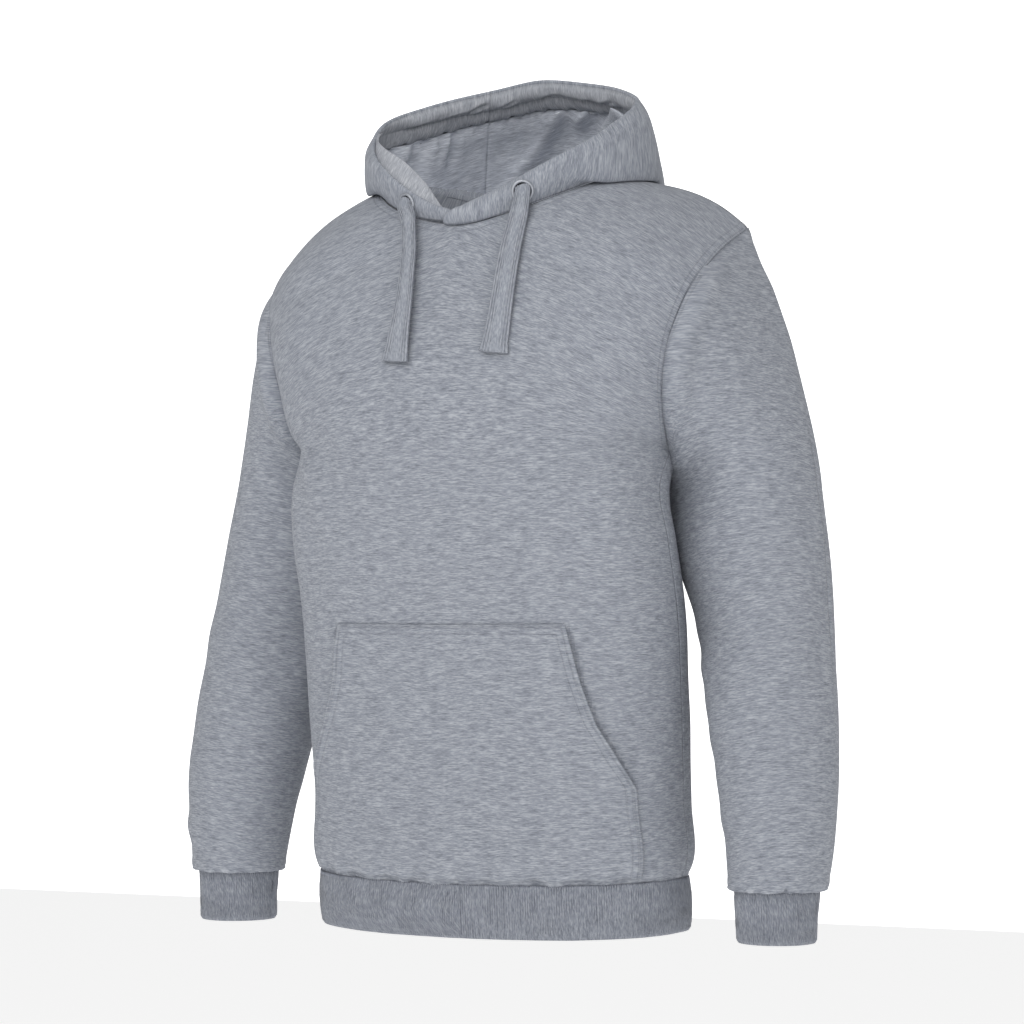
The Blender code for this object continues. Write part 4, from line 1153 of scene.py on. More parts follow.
HOOD_FOLDS = [
    # round the neck in degrees, run up from the neck seam, end_round, end_run, bow, width, depth
    (75.0, 0.012, 118.0, 0.040, 0.10, 0.0050, 0.0016),
    (98.0, 0.015, 140.0, 0.075, 0.10, 0.0070, 0.0022),
    (255.0, 0.015, 225.0, 0.070, -0.10, 0.0070, 0.0022),
    (284.0, 0.012, 250.0, 0.038, -0.10, 0.0050, 0.0014),
    (150.0, 0.150, 175.0, 0.300, 0.10, 0.0100, 0.0034),
    (200.0, 0.140, 176.0, 0.290, -0.12, 0.0100, 0.0034),
    (128.0, 0.110, 155.0, 0.200, 0.10, 0.0080, 0.0028),
    (232.0, 0.105, 206.0, 0.200, -0.10, 0.0080, 0.0028),
]
LINING_FOLDS = [
    # round the neck in degrees, run down from the facing's stitched edge, the same of the other end, bow,
    # width and depth
    (225.0, -0.012, 226.5, 0.042, 0.02, 0.0034, 0.0060),
    (236.0, -0.020, 247.0, 0.085, 0.05, 0.0085, 0.0075),
    (252.0, -0.010, 260.0, 0.060, 0.05, 0.0060, 0.0050),
    (270.0, -0.015, 276.0, 0.045, 0.05, 0.0060, 0.0045),
    (166.0, -0.035, 196.0, 0.085, -0.06, 0.0085, 0.0075),
    (148.0, -0.030, 176.0, 0.045, -0.06, 0.0080, 0.0080),
    (203.0, -0.006, 203.5, 0.016, 0.02, 0.0024, 0.0030),
    (197.5, -0.006, 197.0, 0.012, 0.02, 0.0022, 0.0024),
    (189.0, -0.006, 188.0, 0.018, 0.02, 0.0026, 0.0030),
    (180.0, -0.006, 179.0, 0.012, 0.02, 0.0022, 0.0022),
    (215.5, -0.006, 216.0, 0.014, 0.02, 0.0024, 0.0028),
    (231.0, -0.006, 232.0, 0.018, 0.02, 0.0026, 0.0030),
    (243.0, -0.006, 244.0, 0.014, 0.02, 0.0024, 0.0024),
]
FACING_CREASES = [
    # angle round the neck, part of the facing's depth, end_angle, end_part, half width and depth, in metres
    (168.0, 0.30, 184.0, 0.52, 0.0022, 0.0020),
    (196.0, 0.26, 208.0, 0.50, 0.0020, 0.0018),
    (212.0, 0.20, 226.0, 0.50, 0.0024, 0.0026),
    (222.0, 0.30, 236.0, 0.55, 0.0022, 0.0022),
    (240.0, 0.36, 252.0, 0.62, 0.0022, 0.0020),
    (150.0, 0.34, 160.0, 0.52, 0.0022, 0.0018),
    (134.0, 0.28, 146.0, 0.50, 0.0024, 0.0022),
]
HOOD_SPREAD = 0.74 / 360.0  # metres of cloth to a degree round the hood
FACING_FOLD = [
    # angle round the neck, rise of the loose facing over the rim, its reach in from it
    (-7.0, 0.000, 0.000), (86.0, 0.000, 0.000), (168.0, 0.000, 0.000),
    (235.0, 0.000, 0.000), (256.0, 0.002, 0.001), (272.0, 0.008, 0.004),
    (288.0, 0.017, 0.008), (304.0, 0.023, 0.010), (320.0, 0.025, 0.011), (333.0, 0.020, 0.010),
    (343.0, 0.010, 0.006), (352.0, 0.001, 0.002), (367.0, 0.000, 0.000),
]
RIM_HEIGHT = [
    # angle round the neck, part of the hood's full height that its rim reaches
    (-7.0, 1.00), (12.0, 1.00), (30.0, 0.98), (48.0, 0.90), (62.0, 0.93), (78.0, 1.00), (240.0, 1.00),
    (290.0, 0.97), (308.0, 0.90), (322.0, 0.82), (334.0, 0.80), (346.0, 0.88), (356.0, 0.99), (367.0, 1.00),
]
LINING_SAG = 0.032  # how far the lining sags below the neck seam at the back
# Rows of the hood's mesh: the shell below its channel and over it, the rolled rim, the facing, and the
# lining with its fallen foot.
LOW_ROWS = 60
CHANNEL_ROWS = 13
ROLL_ROWS = 10
FACING_ROWS = 30
LINING_ROWS = 72
FALLEN_ROWS = 8
LINING_LOOPS = [
    # thick folds of loose lining: angle round the neck, run down, end_angle, end_down, half width, height
    (130.0, 0.000, 158.0, 0.050, 0.0130, 0.0300),
    (156.0, 0.000, 186.0, 0.060, 0.0080, 0.0120),
    (172.0, 0.000, 204.0, 0.090, 0.0080, 0.0100),
]
NECK_LIFT = 0.0055  # how far the hood's weight of cloth lifts the shoulders beside the neck


def neck_lift(angle, from_seam):
    """Height of the padded cloth beside the neck seam, by angle round the neck."""
    at_side = np.abs(np.sin(np.radians(angle))) ** 3 * (1 - ramp(from_front(angle), 98.0, 120.0))
    return NECK_LIFT * at_side * bell(from_seam, 0.030)


def toward_axis(angles):
    """Level directions from places round the neck to its middle."""
    return np.stack([-np.sin(np.radians(angles)), np.cos(np.radians(angles)), 0 * angles], axis=1)


def hood_place(angles, run):
    """Places of the hood's rows in the pattern: round the neck, and a run to each column."""
    return np.stack([np.repeat((angles * HOOD_SPREAD)[None], len(run), axis=0), run], axis=2)


def hood_surface(angles, samples=241):
    """The shell's outer face, each column from the neck seam to the rim, with its outward and upward
    directions."""
    tables = np.moveaxis(hood_table(np.asarray(angles, float)), 1, 0)
    line = curve(np.arange(7) / 6, tables, np.linspace(0.0, 1.0, samples))
    # Behind the neck the foot of the hood lies flat before it falls into its bag.
    run = np.cumsum(np.linalg.norm(np.diff(line, axis=0, prepend=line[:1]), axis=2), axis=0)
    line[..., 1] -= FOOT_DROP * ramp(from_front(angles), 98.0, 122.0) * bell(run - 0.018, 0.013)
    turn = np.radians(angles)
    radius, height = line[..., 0], line[..., 1]
    points = np.stack([radius * np.sin(turn), -radius * np.cos(turn), height], axis=-1)
    up = unit(np.gradient(points, axis=0))
    out = unit(np.cross(np.gradient(points, axis=1), up))
    return points, out, up


def resample(values, keys, at):
    """Columns of values read at other places along each column."""
    found = np.empty(at.shape + (3,))
    for j in range(at.shape[1]):
        for k in range(3):
            found[:, j, k] = np.interp(at[:, j], keys[:, j], values[:, j, k])
    return found


def shell_rows(surface, run, shift, start, total):
    """Rows of the outer face up over the channel, and round the rolled rim."""
    points, out, up = surface
    low = np.linspace(0.0, 1.0, LOW_ROWS)[:, None] * start
    channel = start + np.linspace(0.0, 1.0, CHANNEL_ROWS + 1)[1:, None] * (total - start)
    at = np.concatenate([low, channel])
    outer = resample(points, run, at)
    outward = unit(resample(out, run, at))
    rim_up = unit(resample(up, run, total[None]))[0]
    rim_out = outward[-1]
    middle = outer[-1] + rim_out * (shift - HOOD_DEPTH / 2)[:, None]
    roll = [middle + (rim_out * math.cos(turn) + rim_up * math.sin(turn)) * HOOD_DEPTH / 2
            for turn in np.linspace(0.0, math.pi, ROLL_ROWS + 1)[1:]]
    return np.concatenate([outer + outward * shift[None, :, None], np.array(roll)])


def facing_rows(surface, run, shift, angles, at_back, total, facing_end):
    """Rows of the facing, down inside the rim. It bulges in two soft rolls at the back, and folds up
    loose at the wearer's right."""
    points, out, _ = surface
    part = np.linspace(0.0, 1.0, FACING_ROWS + 1)[1:, None]
    at = total + part * (facing_end - total)
    outward = unit(resample(out, run, at))
    rows = resample(points, run, at) + outward * (shift - HOOD_DEPTH)[None, :, None]
    wander = 1.0 + 0.16 * np.sin(angles * 0.13 + 1.0) + 0.12 * np.sin(angles * 0.31 + part * 4.0)
    valley = 0.50 + 0.05 * np.sin(angles * 0.09 + 2.0)
    first = np.sin(math.pi * np.clip(part / valley, 0.0, 1.0)) ** 0.6
    second = np.sin(math.pi * np.clip((part - valley) / (1 - valley), 0.0, 1.0)) ** 0.7
    rolled = (FACING_ROLLS[0] * first + FACING_ROLLS[1] * second) * wander
    flat = hood_place(angles, np.repeat(part * FACING_DEPTH, len(angles), axis=1)).reshape(-1, 2)
    folds = [(a * HOOD_SPREAD, b * FACING_DEPTH, c * HOOD_SPREAD, d * FACING_DEPTH, 0.05, width, depth)
             for a, b, c, d, width, depth in FACING_CREASES]
    rolled = rolled + folded_relief(flat, folds, sizes().crease).reshape(rolled.shape)
    rows = rows - outward * (rolled * at_back)[..., None]
    rise, reach = np.maximum(smooth(FACING_FOLD, angles), 0.0).T
    bulge = np.sin(math.pi * part) ** 0.7 * (1.0 - 0.5 * bell(part, 0.09))
    return rows + bulge[..., None] * (rise[None, :, None] * UP + (reach[:, None] * toward_axis(angles))[None])


def lining_rows(surface, run, shift, angles, at_back, facing_end):
    """Rows of the lining, from its foot that sags behind the neck up to the facing's stitched edge."""
    points, out, _ = surface
    inward = toward_axis(angles)
    at = np.linspace(0.0, 1.0, LINING_ROWS)[:, None] * facing_end
    outward = unit(resample(out, run, at))
    rows = resample(points, run, at) + outward * (shift - HOOD_DEPTH)[None, :, None]
    down = facing_end - at
    slack = LINING_SLACK * at_back * ramp(down, -0.001, 0.014) * ramp(at, 0.0, 0.03)
    rows = rows - outward * slack[..., None]
    rows = rows + loops_of_lining(angles, down)[..., None] * (0.8 * inward[None] + 0.6 * UP)
    sag = 0.0008 + LINING_SAG * ramp(from_front(angles), 80.0, 108.0)
    fall = unit(-0.08 * inward - UP)
    drops = np.linspace(1.0, 0.0, FALLEN_ROWS + 1)[:-1, None, None]
    return np.concatenate([rows[0] + fall * sag[:, None] * drops, rows])


def hood_side(side, angles):
    """One side of the hood: rows of its shell and lining, and the runs at which its channel starts, its
    rim lies and its facing ends."""
    surface = hood_surface(angles)
    run = run_of(surface[0], 0)
    past = np.maximum(-angles if side > 0 else angles - 360.0, 0.0)
    height = smooth(RIM_HEIGHT, angles)[:, 0]
    height = height * (1.0 - (1.0 - LAP_END) * past / LAP_ANGLE)
    share = np.linspace(0.0, 1.0, len(run))
    total = np.array([np.interp(height[j], share, run[:, j]) for j in range(len(angles))])
    start = total - np.minimum(CHANNEL, 0.62 * total)
    at_back = ramp(from_front(angles), 88.0, 125.0)
    facing_end = start - FACING_EXTRA * at_back
    # In front the wearer's left side lies over the right.
    shift = side * ramp(-from_front(angles), -32.0, -10.0) * (HOOD_DEPTH + LAP_CLEAR) / 2
    outer = shell_rows(surface, run, shift, start, total)
    facing = facing_rows(surface, run, shift, angles, at_back, total, facing_end)
    lining = lining_rows(surface, run, shift, angles, at_back, facing_end)
    return np.concatenate([outer, facing]), lining, start, total, facing_end


def loops_of_lining(angles, down):
    """How far the thick folds of loose lining stand in from the shell."""
    place = hood_place(angles, down)
    total = np.zeros(down.shape)
    for a, b, end_a, end_b, width, height in LINING_LOOPS:
        start = np.array([a * HOOD_SPREAD, b])
        along = np.array([end_a * HOOD_SPREAD, end_b]) - start
        length = np.linalg.norm(along)
        offset = place - start
        t = offset @ along / length**2
        side = (offset[..., 0] * along[1] - offset[..., 1] * along[0]) / length
        total += height * bell(side, width) * ramp(t, -0.5, 0.2) * (1 - ramp(t, 0.7, 1.5))
    return total * ramp(down, -0.0005, 0.0080)


def settle_on_shoulders(points, angle, run, rim):
    """The foot of the hood laid onto the shoulders, where it rests on them."""
    tree = outer_faces([bpy.data.objects["front_cloth"], bpy.data.objects["back_cloth"]])
    round_neck_share = ramp(from_front(angle), 52.0, 78.0) * (1 - ramp(from_front(angle), 122.0, 142.0))
    share = round_neck_share * (1 - ramp(run, 0.26 * rim, 0.72 * rim))
    settled = points.copy()
    settled[:, 2] += neck_lift(angle, run)
    for k in np.nonzero(share > 0.001)[0]:
        found = tree.ray_cast(Vector(settled[k]) + Vector((0.0, 0.0, 0.05)), Vector((0.0, 0.0, -1.0)))[0]
        if found is not None:
            settled[k, 2] -= max(settled[k, 2] - found.z - 0.0010, 0.0) * share[k]
    return settled


def hood_relief(angles, run, down, folds, start, seed):
    """Creases of the hood by angle and by run down or up, quiet near the neck seam and over the channel."""
    flat = np.stack([angles * HOOD_SPREAD, down], axis=1)
    scaled = [(a * HOOD_SPREAD, b, c * HOOD_SPREAD, d, bow, width, depth)
              for a, b, c, d, bow, width, depth in folds]
    relief = folded_relief(flat, scaled, sizes().crease)
    relief += drift(flat, 0.10, seed) * 0.0012 * sizes().crease
    pucker = np.sin(angles * 1.9 + seed) + 0.7 * np.sin(angles * 3.13 + 2 * seed) + 0.5 * np.sin(angles * 5.7)
    relief = relief * ramp(run, 0.002, 0.020)
    return relief + pucker * 0.00035 * bell(run - start, 0.006) * ramp(start, 0.02, 0.05)


def make_hood_shell(name, angles, shell, start, total):
    """The shell of one side of the hood, with its channel, its rolled rim and its facing."""
    run = run_of(shell, 0)
    at_rim = run[LOW_ROWS + CHANNEL_ROWS - 1]
    past_rim = run - at_rim
    run = np.where(past_rim > 0, total + past_rim, run * total / np.maximum(at_rim, 1e-6))
    points, quads, uvs, at = piece_of_grids([(shell, hood_place(angles, run))])
    angle, up = at[:, 0] / HOOD_SPREAD, at[:, 1]
    begin = np.interp(angle, angles, start)
    end = np.interp(angle, angles, total)
    roll = math.pi * HOOD_DEPTH / 2
    relief = hood_relief(angle, up, up, HOOD_FOLDS, begin, 0.7) * ramp(end - up, -0.002, 0.012)
    # The cord's channel stands a little proud of the cloth under it.
    relief += 0.0008 * bell(up - (begin + end) / 2, 0.011) * ramp(begin, 0.015, 0.04)
    beyond = up - end - roll
    edge = np.interp(angle, angles, run[-1] - total) - roll
    pucker = np.sin(angle * 1.03) + 0.8 * np.sin(angle * 0.61 + 2.0) + 0.6 * np.sin(angle * 1.71 + 1.0)
    relief += pucker * 0.0008 * bell(edge - beyond, 0.007) * ramp(begin, 0.02, 0.05)
    points = points + normals_of(points, quads) * relief[:, None]
    points = settle_on_shoulders(points, angle, up, np.minimum(end, 0.100))
    stitched = np.where(begin > 0.018, np.abs(edge - beyond - 0.001), 1.0)
    seams = np.minimum(stitched, np.where(up < 0.0018, up, 1.0))
    seams = np.minimum(seams, np.abs(angle - HOOD_SEAM) * HOOD_SPREAD)
    # The knit rows cross the rim squarely.
    rows = uvs[..., 1] - np.interp(uvs[..., 0] / HOOD_SPREAD, angles, total)
    uvs = np.stack([rows, uvs[..., 0]], axis=2)
    seams = np.where(seams < 0.0018, seams, 1.0)
    made = add_piece(f"hood_{name}_shell", points, quads, uvs, fleece("hood_marl"), [f"hood_{name}"],
                     sizes().hood_cloth, seams)
    made.data.materials.append(fleece("facing_marl", tint=(1.30, 1.27, 1.22), contrast=0.8))
    inner = (beyond[quads] > -0.001).all(axis=1)
    made.data.polygons.foreach_set("material_index", inner.astype(np.int32))
    return made


def make_hood_lining(name, angles, lining, facing_end):
    """The lining of one side of the hood."""
    run = run_of(lining, 0)
    run = run - run[FALLEN_ROWS]
    run[FALLEN_ROWS:] = run[FALLEN_ROWS:] * facing_end / np.maximum(run[-1], 1e-6)
    points, quads, uvs, at = piece_of_grids([(lining, hood_place(angles, run))])
    quads = quads[:, ::-1]
    uvs = uvs[:, ::-1]
    angle, up = at[:, 0] / HOOD_SPREAD, at[:, 1]
    top = np.interp(angle, angles, facing_end)
    down = top - up
    relief = hood_relief(angle, up, down, LINING_FOLDS, top, 2.1) * ramp(down, -0.001, 0.004)
    relief = np.maximum(relief, LINING_DEEPEST)
    points = points + normals_of(points, quads) * relief[:, None]
    points[:, 2] += neck_lift(angle, up)
    uvs[..., 1] -= np.interp(uvs[..., 0] / HOOD_SPREAD, angles, facing_end)
    seams = np.minimum(np.abs(angle - HOOD_SEAM) * HOOD_SPREAD, np.maximum(down, 0.0) + 0.0004)
    # The lining is the body's fleece painted far lighter: painted light, standing for the light that falls
    # into the hood.
    material = fleece("lining_marl_painted_light", tint=(1.92, 1.89, 1.84), contrast=0.8)
    made = add_piece(f"hood_{name}_inside", points, quads, uvs, material, [f"hood_lining_{name}"],
                     sizes().hood_cloth, np.where(seams < 0.0018, seams, 1.0))
    # The foot of the lining, deeper at the back, takes the body's fleece without the lining's painted light,
    # so that it is painted darker as shade in the neck.
    made.data.materials.append(fleece())
    shaded_foot_reach = np.where(np.cos(np.radians(angle)) < -0.1, 0.034, 0.009)
    foot = (up[quads] < shaded_foot_reach[quads]).all(axis=1)
    made.data.polygons.foreach_set("material_index", foot.astype(np.int32))
    return made


def eyelet_frame(angle, station, side):
    """Centre, outward and upward directions of an eyelet."""
    near = np.array([angle - 0.5, angle, angle + 0.5])
    points, out, up = hood_surface(near, 601)
    k = int(round(station * 600))
    flip = np.array([side, 1.0, 1.0])
    return points[k, 1] * flip, out[k, 1] * flip, up[k, 1] * flip


def make_eyelets():
    """Both eyelets: a rounded ring, and a dark disc in its hole as painted shade."""
    metal = plain_material("pressed_metal", looks().metal, 0.50, 1.0)
    dark = plain_material("eyelet_shade", (0.02, 0.021, 0.025), 0.9)
    width = (EYELET_RADIUS - EYELET_HOLE) / 2
    middle = (EYELET_RADIUS + EYELET_HOLE) / 2
    for name, side, angle, station, lift in EYELETS:
        centre, out, up = eyelet_frame(angle, station, side)
        sideways = unit(np.cross(up, out))
        turns = np.linspace(0.0, 2 * math.pi, 65)
        turn, around = np.meshgrid(turns, np.linspace(0.0, 2 * math.pi, 25), indexing="ij")
        radius = middle + width * np.cos(around)
        height = np.maximum(0.0013 * np.sin(around), -0.0002) + lift + 0.0002
        spoke = np.cos(turns)[:, None, None] * sideways + np.sin(turns)[:, None, None] * up
        ring = centre + spoke * radius[..., None] + out * height[..., None]
        place = np.stack([turn * middle, around * width], axis=2)
        points, quads, uvs, _ = piece_of_grids([(ring, place)])
        if np.linalg.det(np.array([sideways, up, out])) > 0:
            quads = quads[:, ::-1]
            uvs = uvs[:, ::-1]
        add_piece(f"eyelet_ring_{name}", points, quads, uvs, metal, [f"eyelet_{name}"])
        turn, radii = np.meshgrid(turns, np.linspace(0.0006, EYELET_HOLE, 6), indexing="ij")
        disc = centre + spoke * radii[..., None] + out * (lift + 0.0003)
        points, quads, uvs, _ = piece_of_grids([(disc, np.stack([turn * radii, radii], axis=2))])
        add_piece(f"eyelet_hole_{name}", points, quads, uvs, dark, ())


def cord_path(name):
    """Centre points and widths of a drawcord, from inside its eyelet to its free end."""
    table = LEFT_CORD if name == "left" else RIGHT_CORD
    entry = EYELETS[0] if name == "left" else EYELETS[1]
    centre, out, up = eyelet_frame(entry[2], entry[3], entry[1])
    # The first places lead up out of the eyelet's hole.
    rows = [
        (*(centre + up * 0.0062 - out * 0.0014), 0.0100),
        (*(centre + up * 0.0036 + out * 0.0004), 0.0142),
        (*(centre - up * 0.0020 + out * 0.0024), 0.0152),
        *table[2:],
    ]
    return curve(np.arange(len(rows)), np.array(rows), np.linspace(0.0, len(rows) - 1, 170))


def point_shares(points, centre, across, width):
    """Where each point lies across the cord, from -1 at one edge to 1 at the other."""
    tree = tree_of(centre)
    nearest = np.array([tree.find(point)[1] for point in points])
    offset = np.sum((points - centre[nearest]) * across[nearest], axis=1)
    return np.clip(offset / (width[nearest] / 2), -1.0, 1.0)


def cord_rib(share):
    """Height of the lengthwise ribs, from 0 to 1, by the place across a cord."""
    return np.abs(np.cos(share * math.pi * 4.5))


def make_cord(name, side):
    """A flat knitted cord with lengthwise ribs and a folded, stitched end."""
    route = cord_path(name)
    centre, width = route[:, :3], route[:, 3]
    along = unit(np.gradient(centre, axis=0))
    turn = CORD_TURN * (1.0 if side > 0 else -0.35) * np.linspace(0.75, 1.0, len(route))
    if side < 0:
        centre = centre - np.array([0.0, 0.0016, 0.0]) * np.linspace(0.0, 1.0, len(route))[:, None] ** 0.5
    across = np.stack([np.cos(turn), np.sin(turn), 0 * turn], axis=1)
    across = unit(across - along * np.sum(across * along, axis=1, keepdims=True))
    out = unit(np.cross(across, along))
    run = run_of(centre, 0)
    left = run[-1] - run
    theta = np.linspace(0.0, 2 * math.pi, 121)
    share = np.sign(np.cos(theta)) * np.abs(np.cos(theta)) ** 0.55
    face = np.sign(np.sin(theta)) * np.abs(np.sin(theta)) ** 0.45
    ribs = 0.00050 * cord_rib(share) * np.abs(face)
    thick = 0.0013 + 0.0005 * ramp(-left, -0.0125, -0.0115)
    pinch = 0.0006 * bell(left - 0.0100, 0.0009) + 0.0005 * bell(left - 0.0022, 0.0012)
    half = (thick - pinch)[:, None] * face + np.sign(face) * ribs
    drawn = 1.0 - 0.05 * bell(left - 0.0100, 0.0018) + 0.02 * np.sin(run * 260.0)
    grid = centre[:, None] + across[:, None] * (width * drawn / 2)[:, None, None] * share[None, :, None]
    grid = grid - out[:, None] * half[..., None]
    caps = []
    for ring, shift in ((grid[0], -0.0002), (grid[-1], 0.0004)):
        inner = ring.mean(axis=0) + (ring - ring.mean(axis=0)) * 0.4
        caps.append(inner + (along[0] if shift < 0 else along[-1]) * shift)
    ends = [np.repeat(cap.mean(axis=0)[None], len(theta), axis=0) for cap in caps]
    grid = np.concatenate([ends[0][None], caps[0][None], grid, caps[1][None], ends[1][None]])
    place = np.stack([run_of(grid, 1), np.repeat(run_of(grid, 0)[:, [0]], len(theta), axis=1)], axis=2)
    points, quads, uvs, _ = piece_of_grids([(grid, place)])
    faces = [tuple(dict.fromkeys(quad)) for quad in quads.tolist()]
    mesh = bpy.data.meshes.new(f"cord_{name}")
    chosen = [face for face in faces if len(face) > 2]
    mesh.from_pydata(points.tolist(), [], chosen)
    layer = mesh.uv_layers.new(name="pattern")
    corners = [tuple(uv) for quad, uv4 in zip(quads.tolist(), uvs.tolist())
               for k, uv in enumerate(uv4) if len(set(quad)) > 2 and quad[k] not in quad[:k]]
    layer.data.foreach_set("uv", np.asarray(corners, np.float32).reshape(-1))
    # Painted shade darkens the grooves between the cord's lengthwise ribs.
    grooves = mesh.attributes.new("groove_and_shade_distance", "FLOAT", "POINT")
    at = np.linspace(-1.0, 1.0, 401)
    rib = np.interp(point_shares(points, centre, across, width), at, cord_rib(at))
    grooves.data.foreach_set("value", (0.0022 * rib + 0.0003).astype(np.float32))
    tint = (1.14, 1.14, 1.13)
    material = fleece("cord_marl", streak=(0.0012, 0.006), tint=tint, contrast=0.7, seam_shade=0.8)
    mesh.materials.append(material)
    made = add_object(f"cord_{name}", mesh, [f"drawcord_{name}"])


def outer_faces(hosts):
    """The outer faces of pieces as one tree, to lay stitches on."""
    points, faces = [], []
    for host in hosts:
        start = len(points)
        points += [vertex.co.copy() for vertex in host.data.vertices]
        faces += [tuple(start + k for k in face.vertices) for face in host.data.polygons]
    return BVHTree.FromPolygons(points, faces)


def lay_stitches(name, lines, hosts):
    """Short raised threads along lines, laid on the outer faces of the pieces."""
    tree = outer_faces(hosts)
    length, radius = sizes().stitch, sizes().thread / 2
    points, faces = [], []
    for line in lines:
        line = fine_line(line, 0.0004)
        run = run_of(line, 0)
        count = max(int(run[-1] / (length * 1.22)), 1)
        for k in range(count):
            begin = (k + 0.1) / count * run[-1]
            spots = []
            for part in np.linspace(0.0, 1.0, 5):
                at = begin + part * length
                place = Vector([float(np.interp(at, run, line[:, axis])) for axis in range(3)])
                found, normal, _, _ = tree.find_nearest(place)
                spots.append((found, normal, math.sin(math.pi * part)))
            forward = (spots[-1][0] - spots[0][0]).normalized()
            start = len(points)
            for found, normal, swell in spots:
                side = forward.cross(normal).normalized()
                wide = radius * (0.35 + 0.65 * swell)
                for step in range(5):
                    turn = math.pi * step / 4
                    rise = wide * math.sin(turn) - 0.00004
                    points.append(found + side * wide * math.cos(turn) + normal * rise)
            for first in range(start, start + 20, 5):
                faces += [(a, a + 5, a + 6, a + 1) for a in range(first, first + 4)]
                faces.append((first + 4, first + 9, first + 5, first))
            faces.append(tuple(range(start, start + 5)))
            faces.append(tuple(range(start + 24, start + 19, -1)))
    mesh = bpy.data.meshes.new(name)
    mesh.from_pydata(points, [], faces)
    mesh.materials.append(bpy.data.materials.get("thread") or plain_material("thread", looks().thread, 0.7))
    add_object(name, mesh)


def offset_line(line, middle, distance):
    """A line on a surface moved sideways towards a point."""
    along = unit(np.gradient(line, axis=0))
    inward = middle - line
    inward = unit(inward - along * np.sum(inward * along, axis=1, keepdims=True))
    return line + inward * distance


def pocket_outline(inset):
    """Half the pocket's stitched lines on the front: side, mouth and top, at a distance inside its edge."""
    heights = np.linspace(-0.6640, POCKET_TOP - inset, 120)
    edges = np.interp(heights, *np.array(POCKET_EDGE).T)
    points = []
    for height, edge in zip(heights, edges):
        shares = np.linspace(0.0, edge + 0.03, 64)
        row = bezier(body_row(-1, height), shares)
        run = run_of(row, 0)
        at = np.interp(edge, shares, run) - inset
        points.append([np.interp(at, run, row[:, k]) for k in range(3)])
    return np.array(points)


# Operators, one for each piece or group of like pieces.


class HOODIE_OT_torso(bpy.types.Operator):
    """Make the front and the back"""

    bl_idname = "hoodie.torso"
    bl_label = "Front and back"

    def execute(self, context):
        make_torso(-1, "front_cloth")
        make_torso(1, "back_cloth")
        return {"FINISHED"}


class HOODIE_OT_sleeves(bpy.types.Operator):
    """Make both sleeves"""

    bl_idname = "hoodie.sleeves"
    bl_label = "Sleeves"

    def execute(self, context):
        for side, name in ((1, "left"), (-1, "right")):
            make_sleeve(side, name)
        return {"FINISHED"}


class HOODIE_OT_ribbing(bpy.types.Operator):
    """Make the hem band and both cuffs in ribbing"""

    bl_idname = "hoodie.ribbing"
    bl_label = "Hem band and cuffs"

    def execute(self, context):
        size = sizes()
        band = ribbed_tube("hem_band", hem_rings(), size.hem_ribs, size.rib_height, 0.3)
        height = size.rib_height * 1.1
        for side, name in ((1, "left"), (-1, "right")):
            cuff = ribbed_tube(f"cuff_{name}", cuff_rings(side), size.cuff_ribs, height, 1.2 + side)
        return {"FINISHED"}


class HOODIE_OT_pocket(bpy.types.Operator):
    """Make the kangaroo pocket"""

    bl_idname = "hoodie.pocket"
    bl_label = "Pocket"

    def execute(self, context):
        make_pocket()
        return {"FINISHED"}


class HOODIE_OT_hood(bpy.types.Operator):
    """Make both sides of the lined hood, the wearer's left lapped over the right"""

    bl_idname = "hoodie.hood"
    bl_label = "Hood"

    def execute(self, context):
        # Columns lie closer where the halves lap in front.
        left = [np.linspace(-LAP_ANGLE, 20.0, 40), np.linspace(20.0, HOOD_SEAM, 150)]
        right = [np.linspace(HOOD_SEAM, 340.0, 100), np.linspace(340.0, 360.0 + LAP_ANGLE, 40)]
        for side, name, angles, shell_size, lining_size in (
            (1, "left", left, (0.46, 0.42), (0.44, 0.34)),
            (-1, "right", right, (0.34, 0.42), (0.26, 0.22)),
        ):
            angles = np.unique(np.concatenate(angles))
            shell, lining, start, total, facing_end = hood_side(side, angles)
            made = make_hood_shell(name, angles, shell, start, total)
            made = make_hood_lining(name, angles, lining, facing_end)
        return {"FINISHED"}


class HOODIE_OT_eyelets(bpy.types.Operator):
    """Make the two pressed eyelets"""

    bl_idname = "hoodie.eyelets"
    bl_label = "Eyelets"

    def execute(self, context):
        make_eyelets()
        return {"FINISHED"}


class HOODIE_OT_cords(bpy.types.Operator):
    """Make the free ends of the flat drawcord"""

    bl_idname = "hoodie.cords"
    bl_label = "Drawcords"

    def execute(self, context):
        make_cord("left", 1)
        make_cord("right", -1)
        return {"FINISHED"}


class HOODIE_OT_stitches(bpy.types.Operator):
    """Lay the top stitching on the pocket, the neck and the armholes"""

    bl_idname = "hoodie.stitches"
    bl_label = "Top stitching"

    def execute(self, context):
        objects = bpy.data.objects
        body = [objects["front_cloth"], objects["back_cloth"]]
        lines = []
        for inset in POCKET_STITCHES:
            edge = pocket_outline(inset)
            across = np.linspace(edge[-1], edge[-1] * [-1, 1, 1], 80)
            lines += [edge, mirrored(edge), across]
        lay_stitches("pocket_stitches", lines, [objects["pocket_cloth"]])
        neck = neck_line()
        below = neck * [1.9, 1.9, 0.0] - 0.9 * UP
        lay_stitches("neck_stitches", [offset_line(neck, below, gap) for gap in TOPSTITCHES], body)
        for side, name in ((1, "left"), (-1, "right")):
            line = armhole_line(side)
            inside = np.array([side * 0.06, 0.0, -0.13])
            lines = [offset_line(line, inside, gap) for gap in TOPSTITCHES]
            lay_stitches(f"armhole_{name}_stitches", lines, body)
        return {"FINISHED"}


FRAME = 1024  # the picture's width and height in pixels
AXIS_COLUMN = 502  # the pixel column of the body's axis
HORIZON_ROW = 606  # the pixel row at the camera's own height


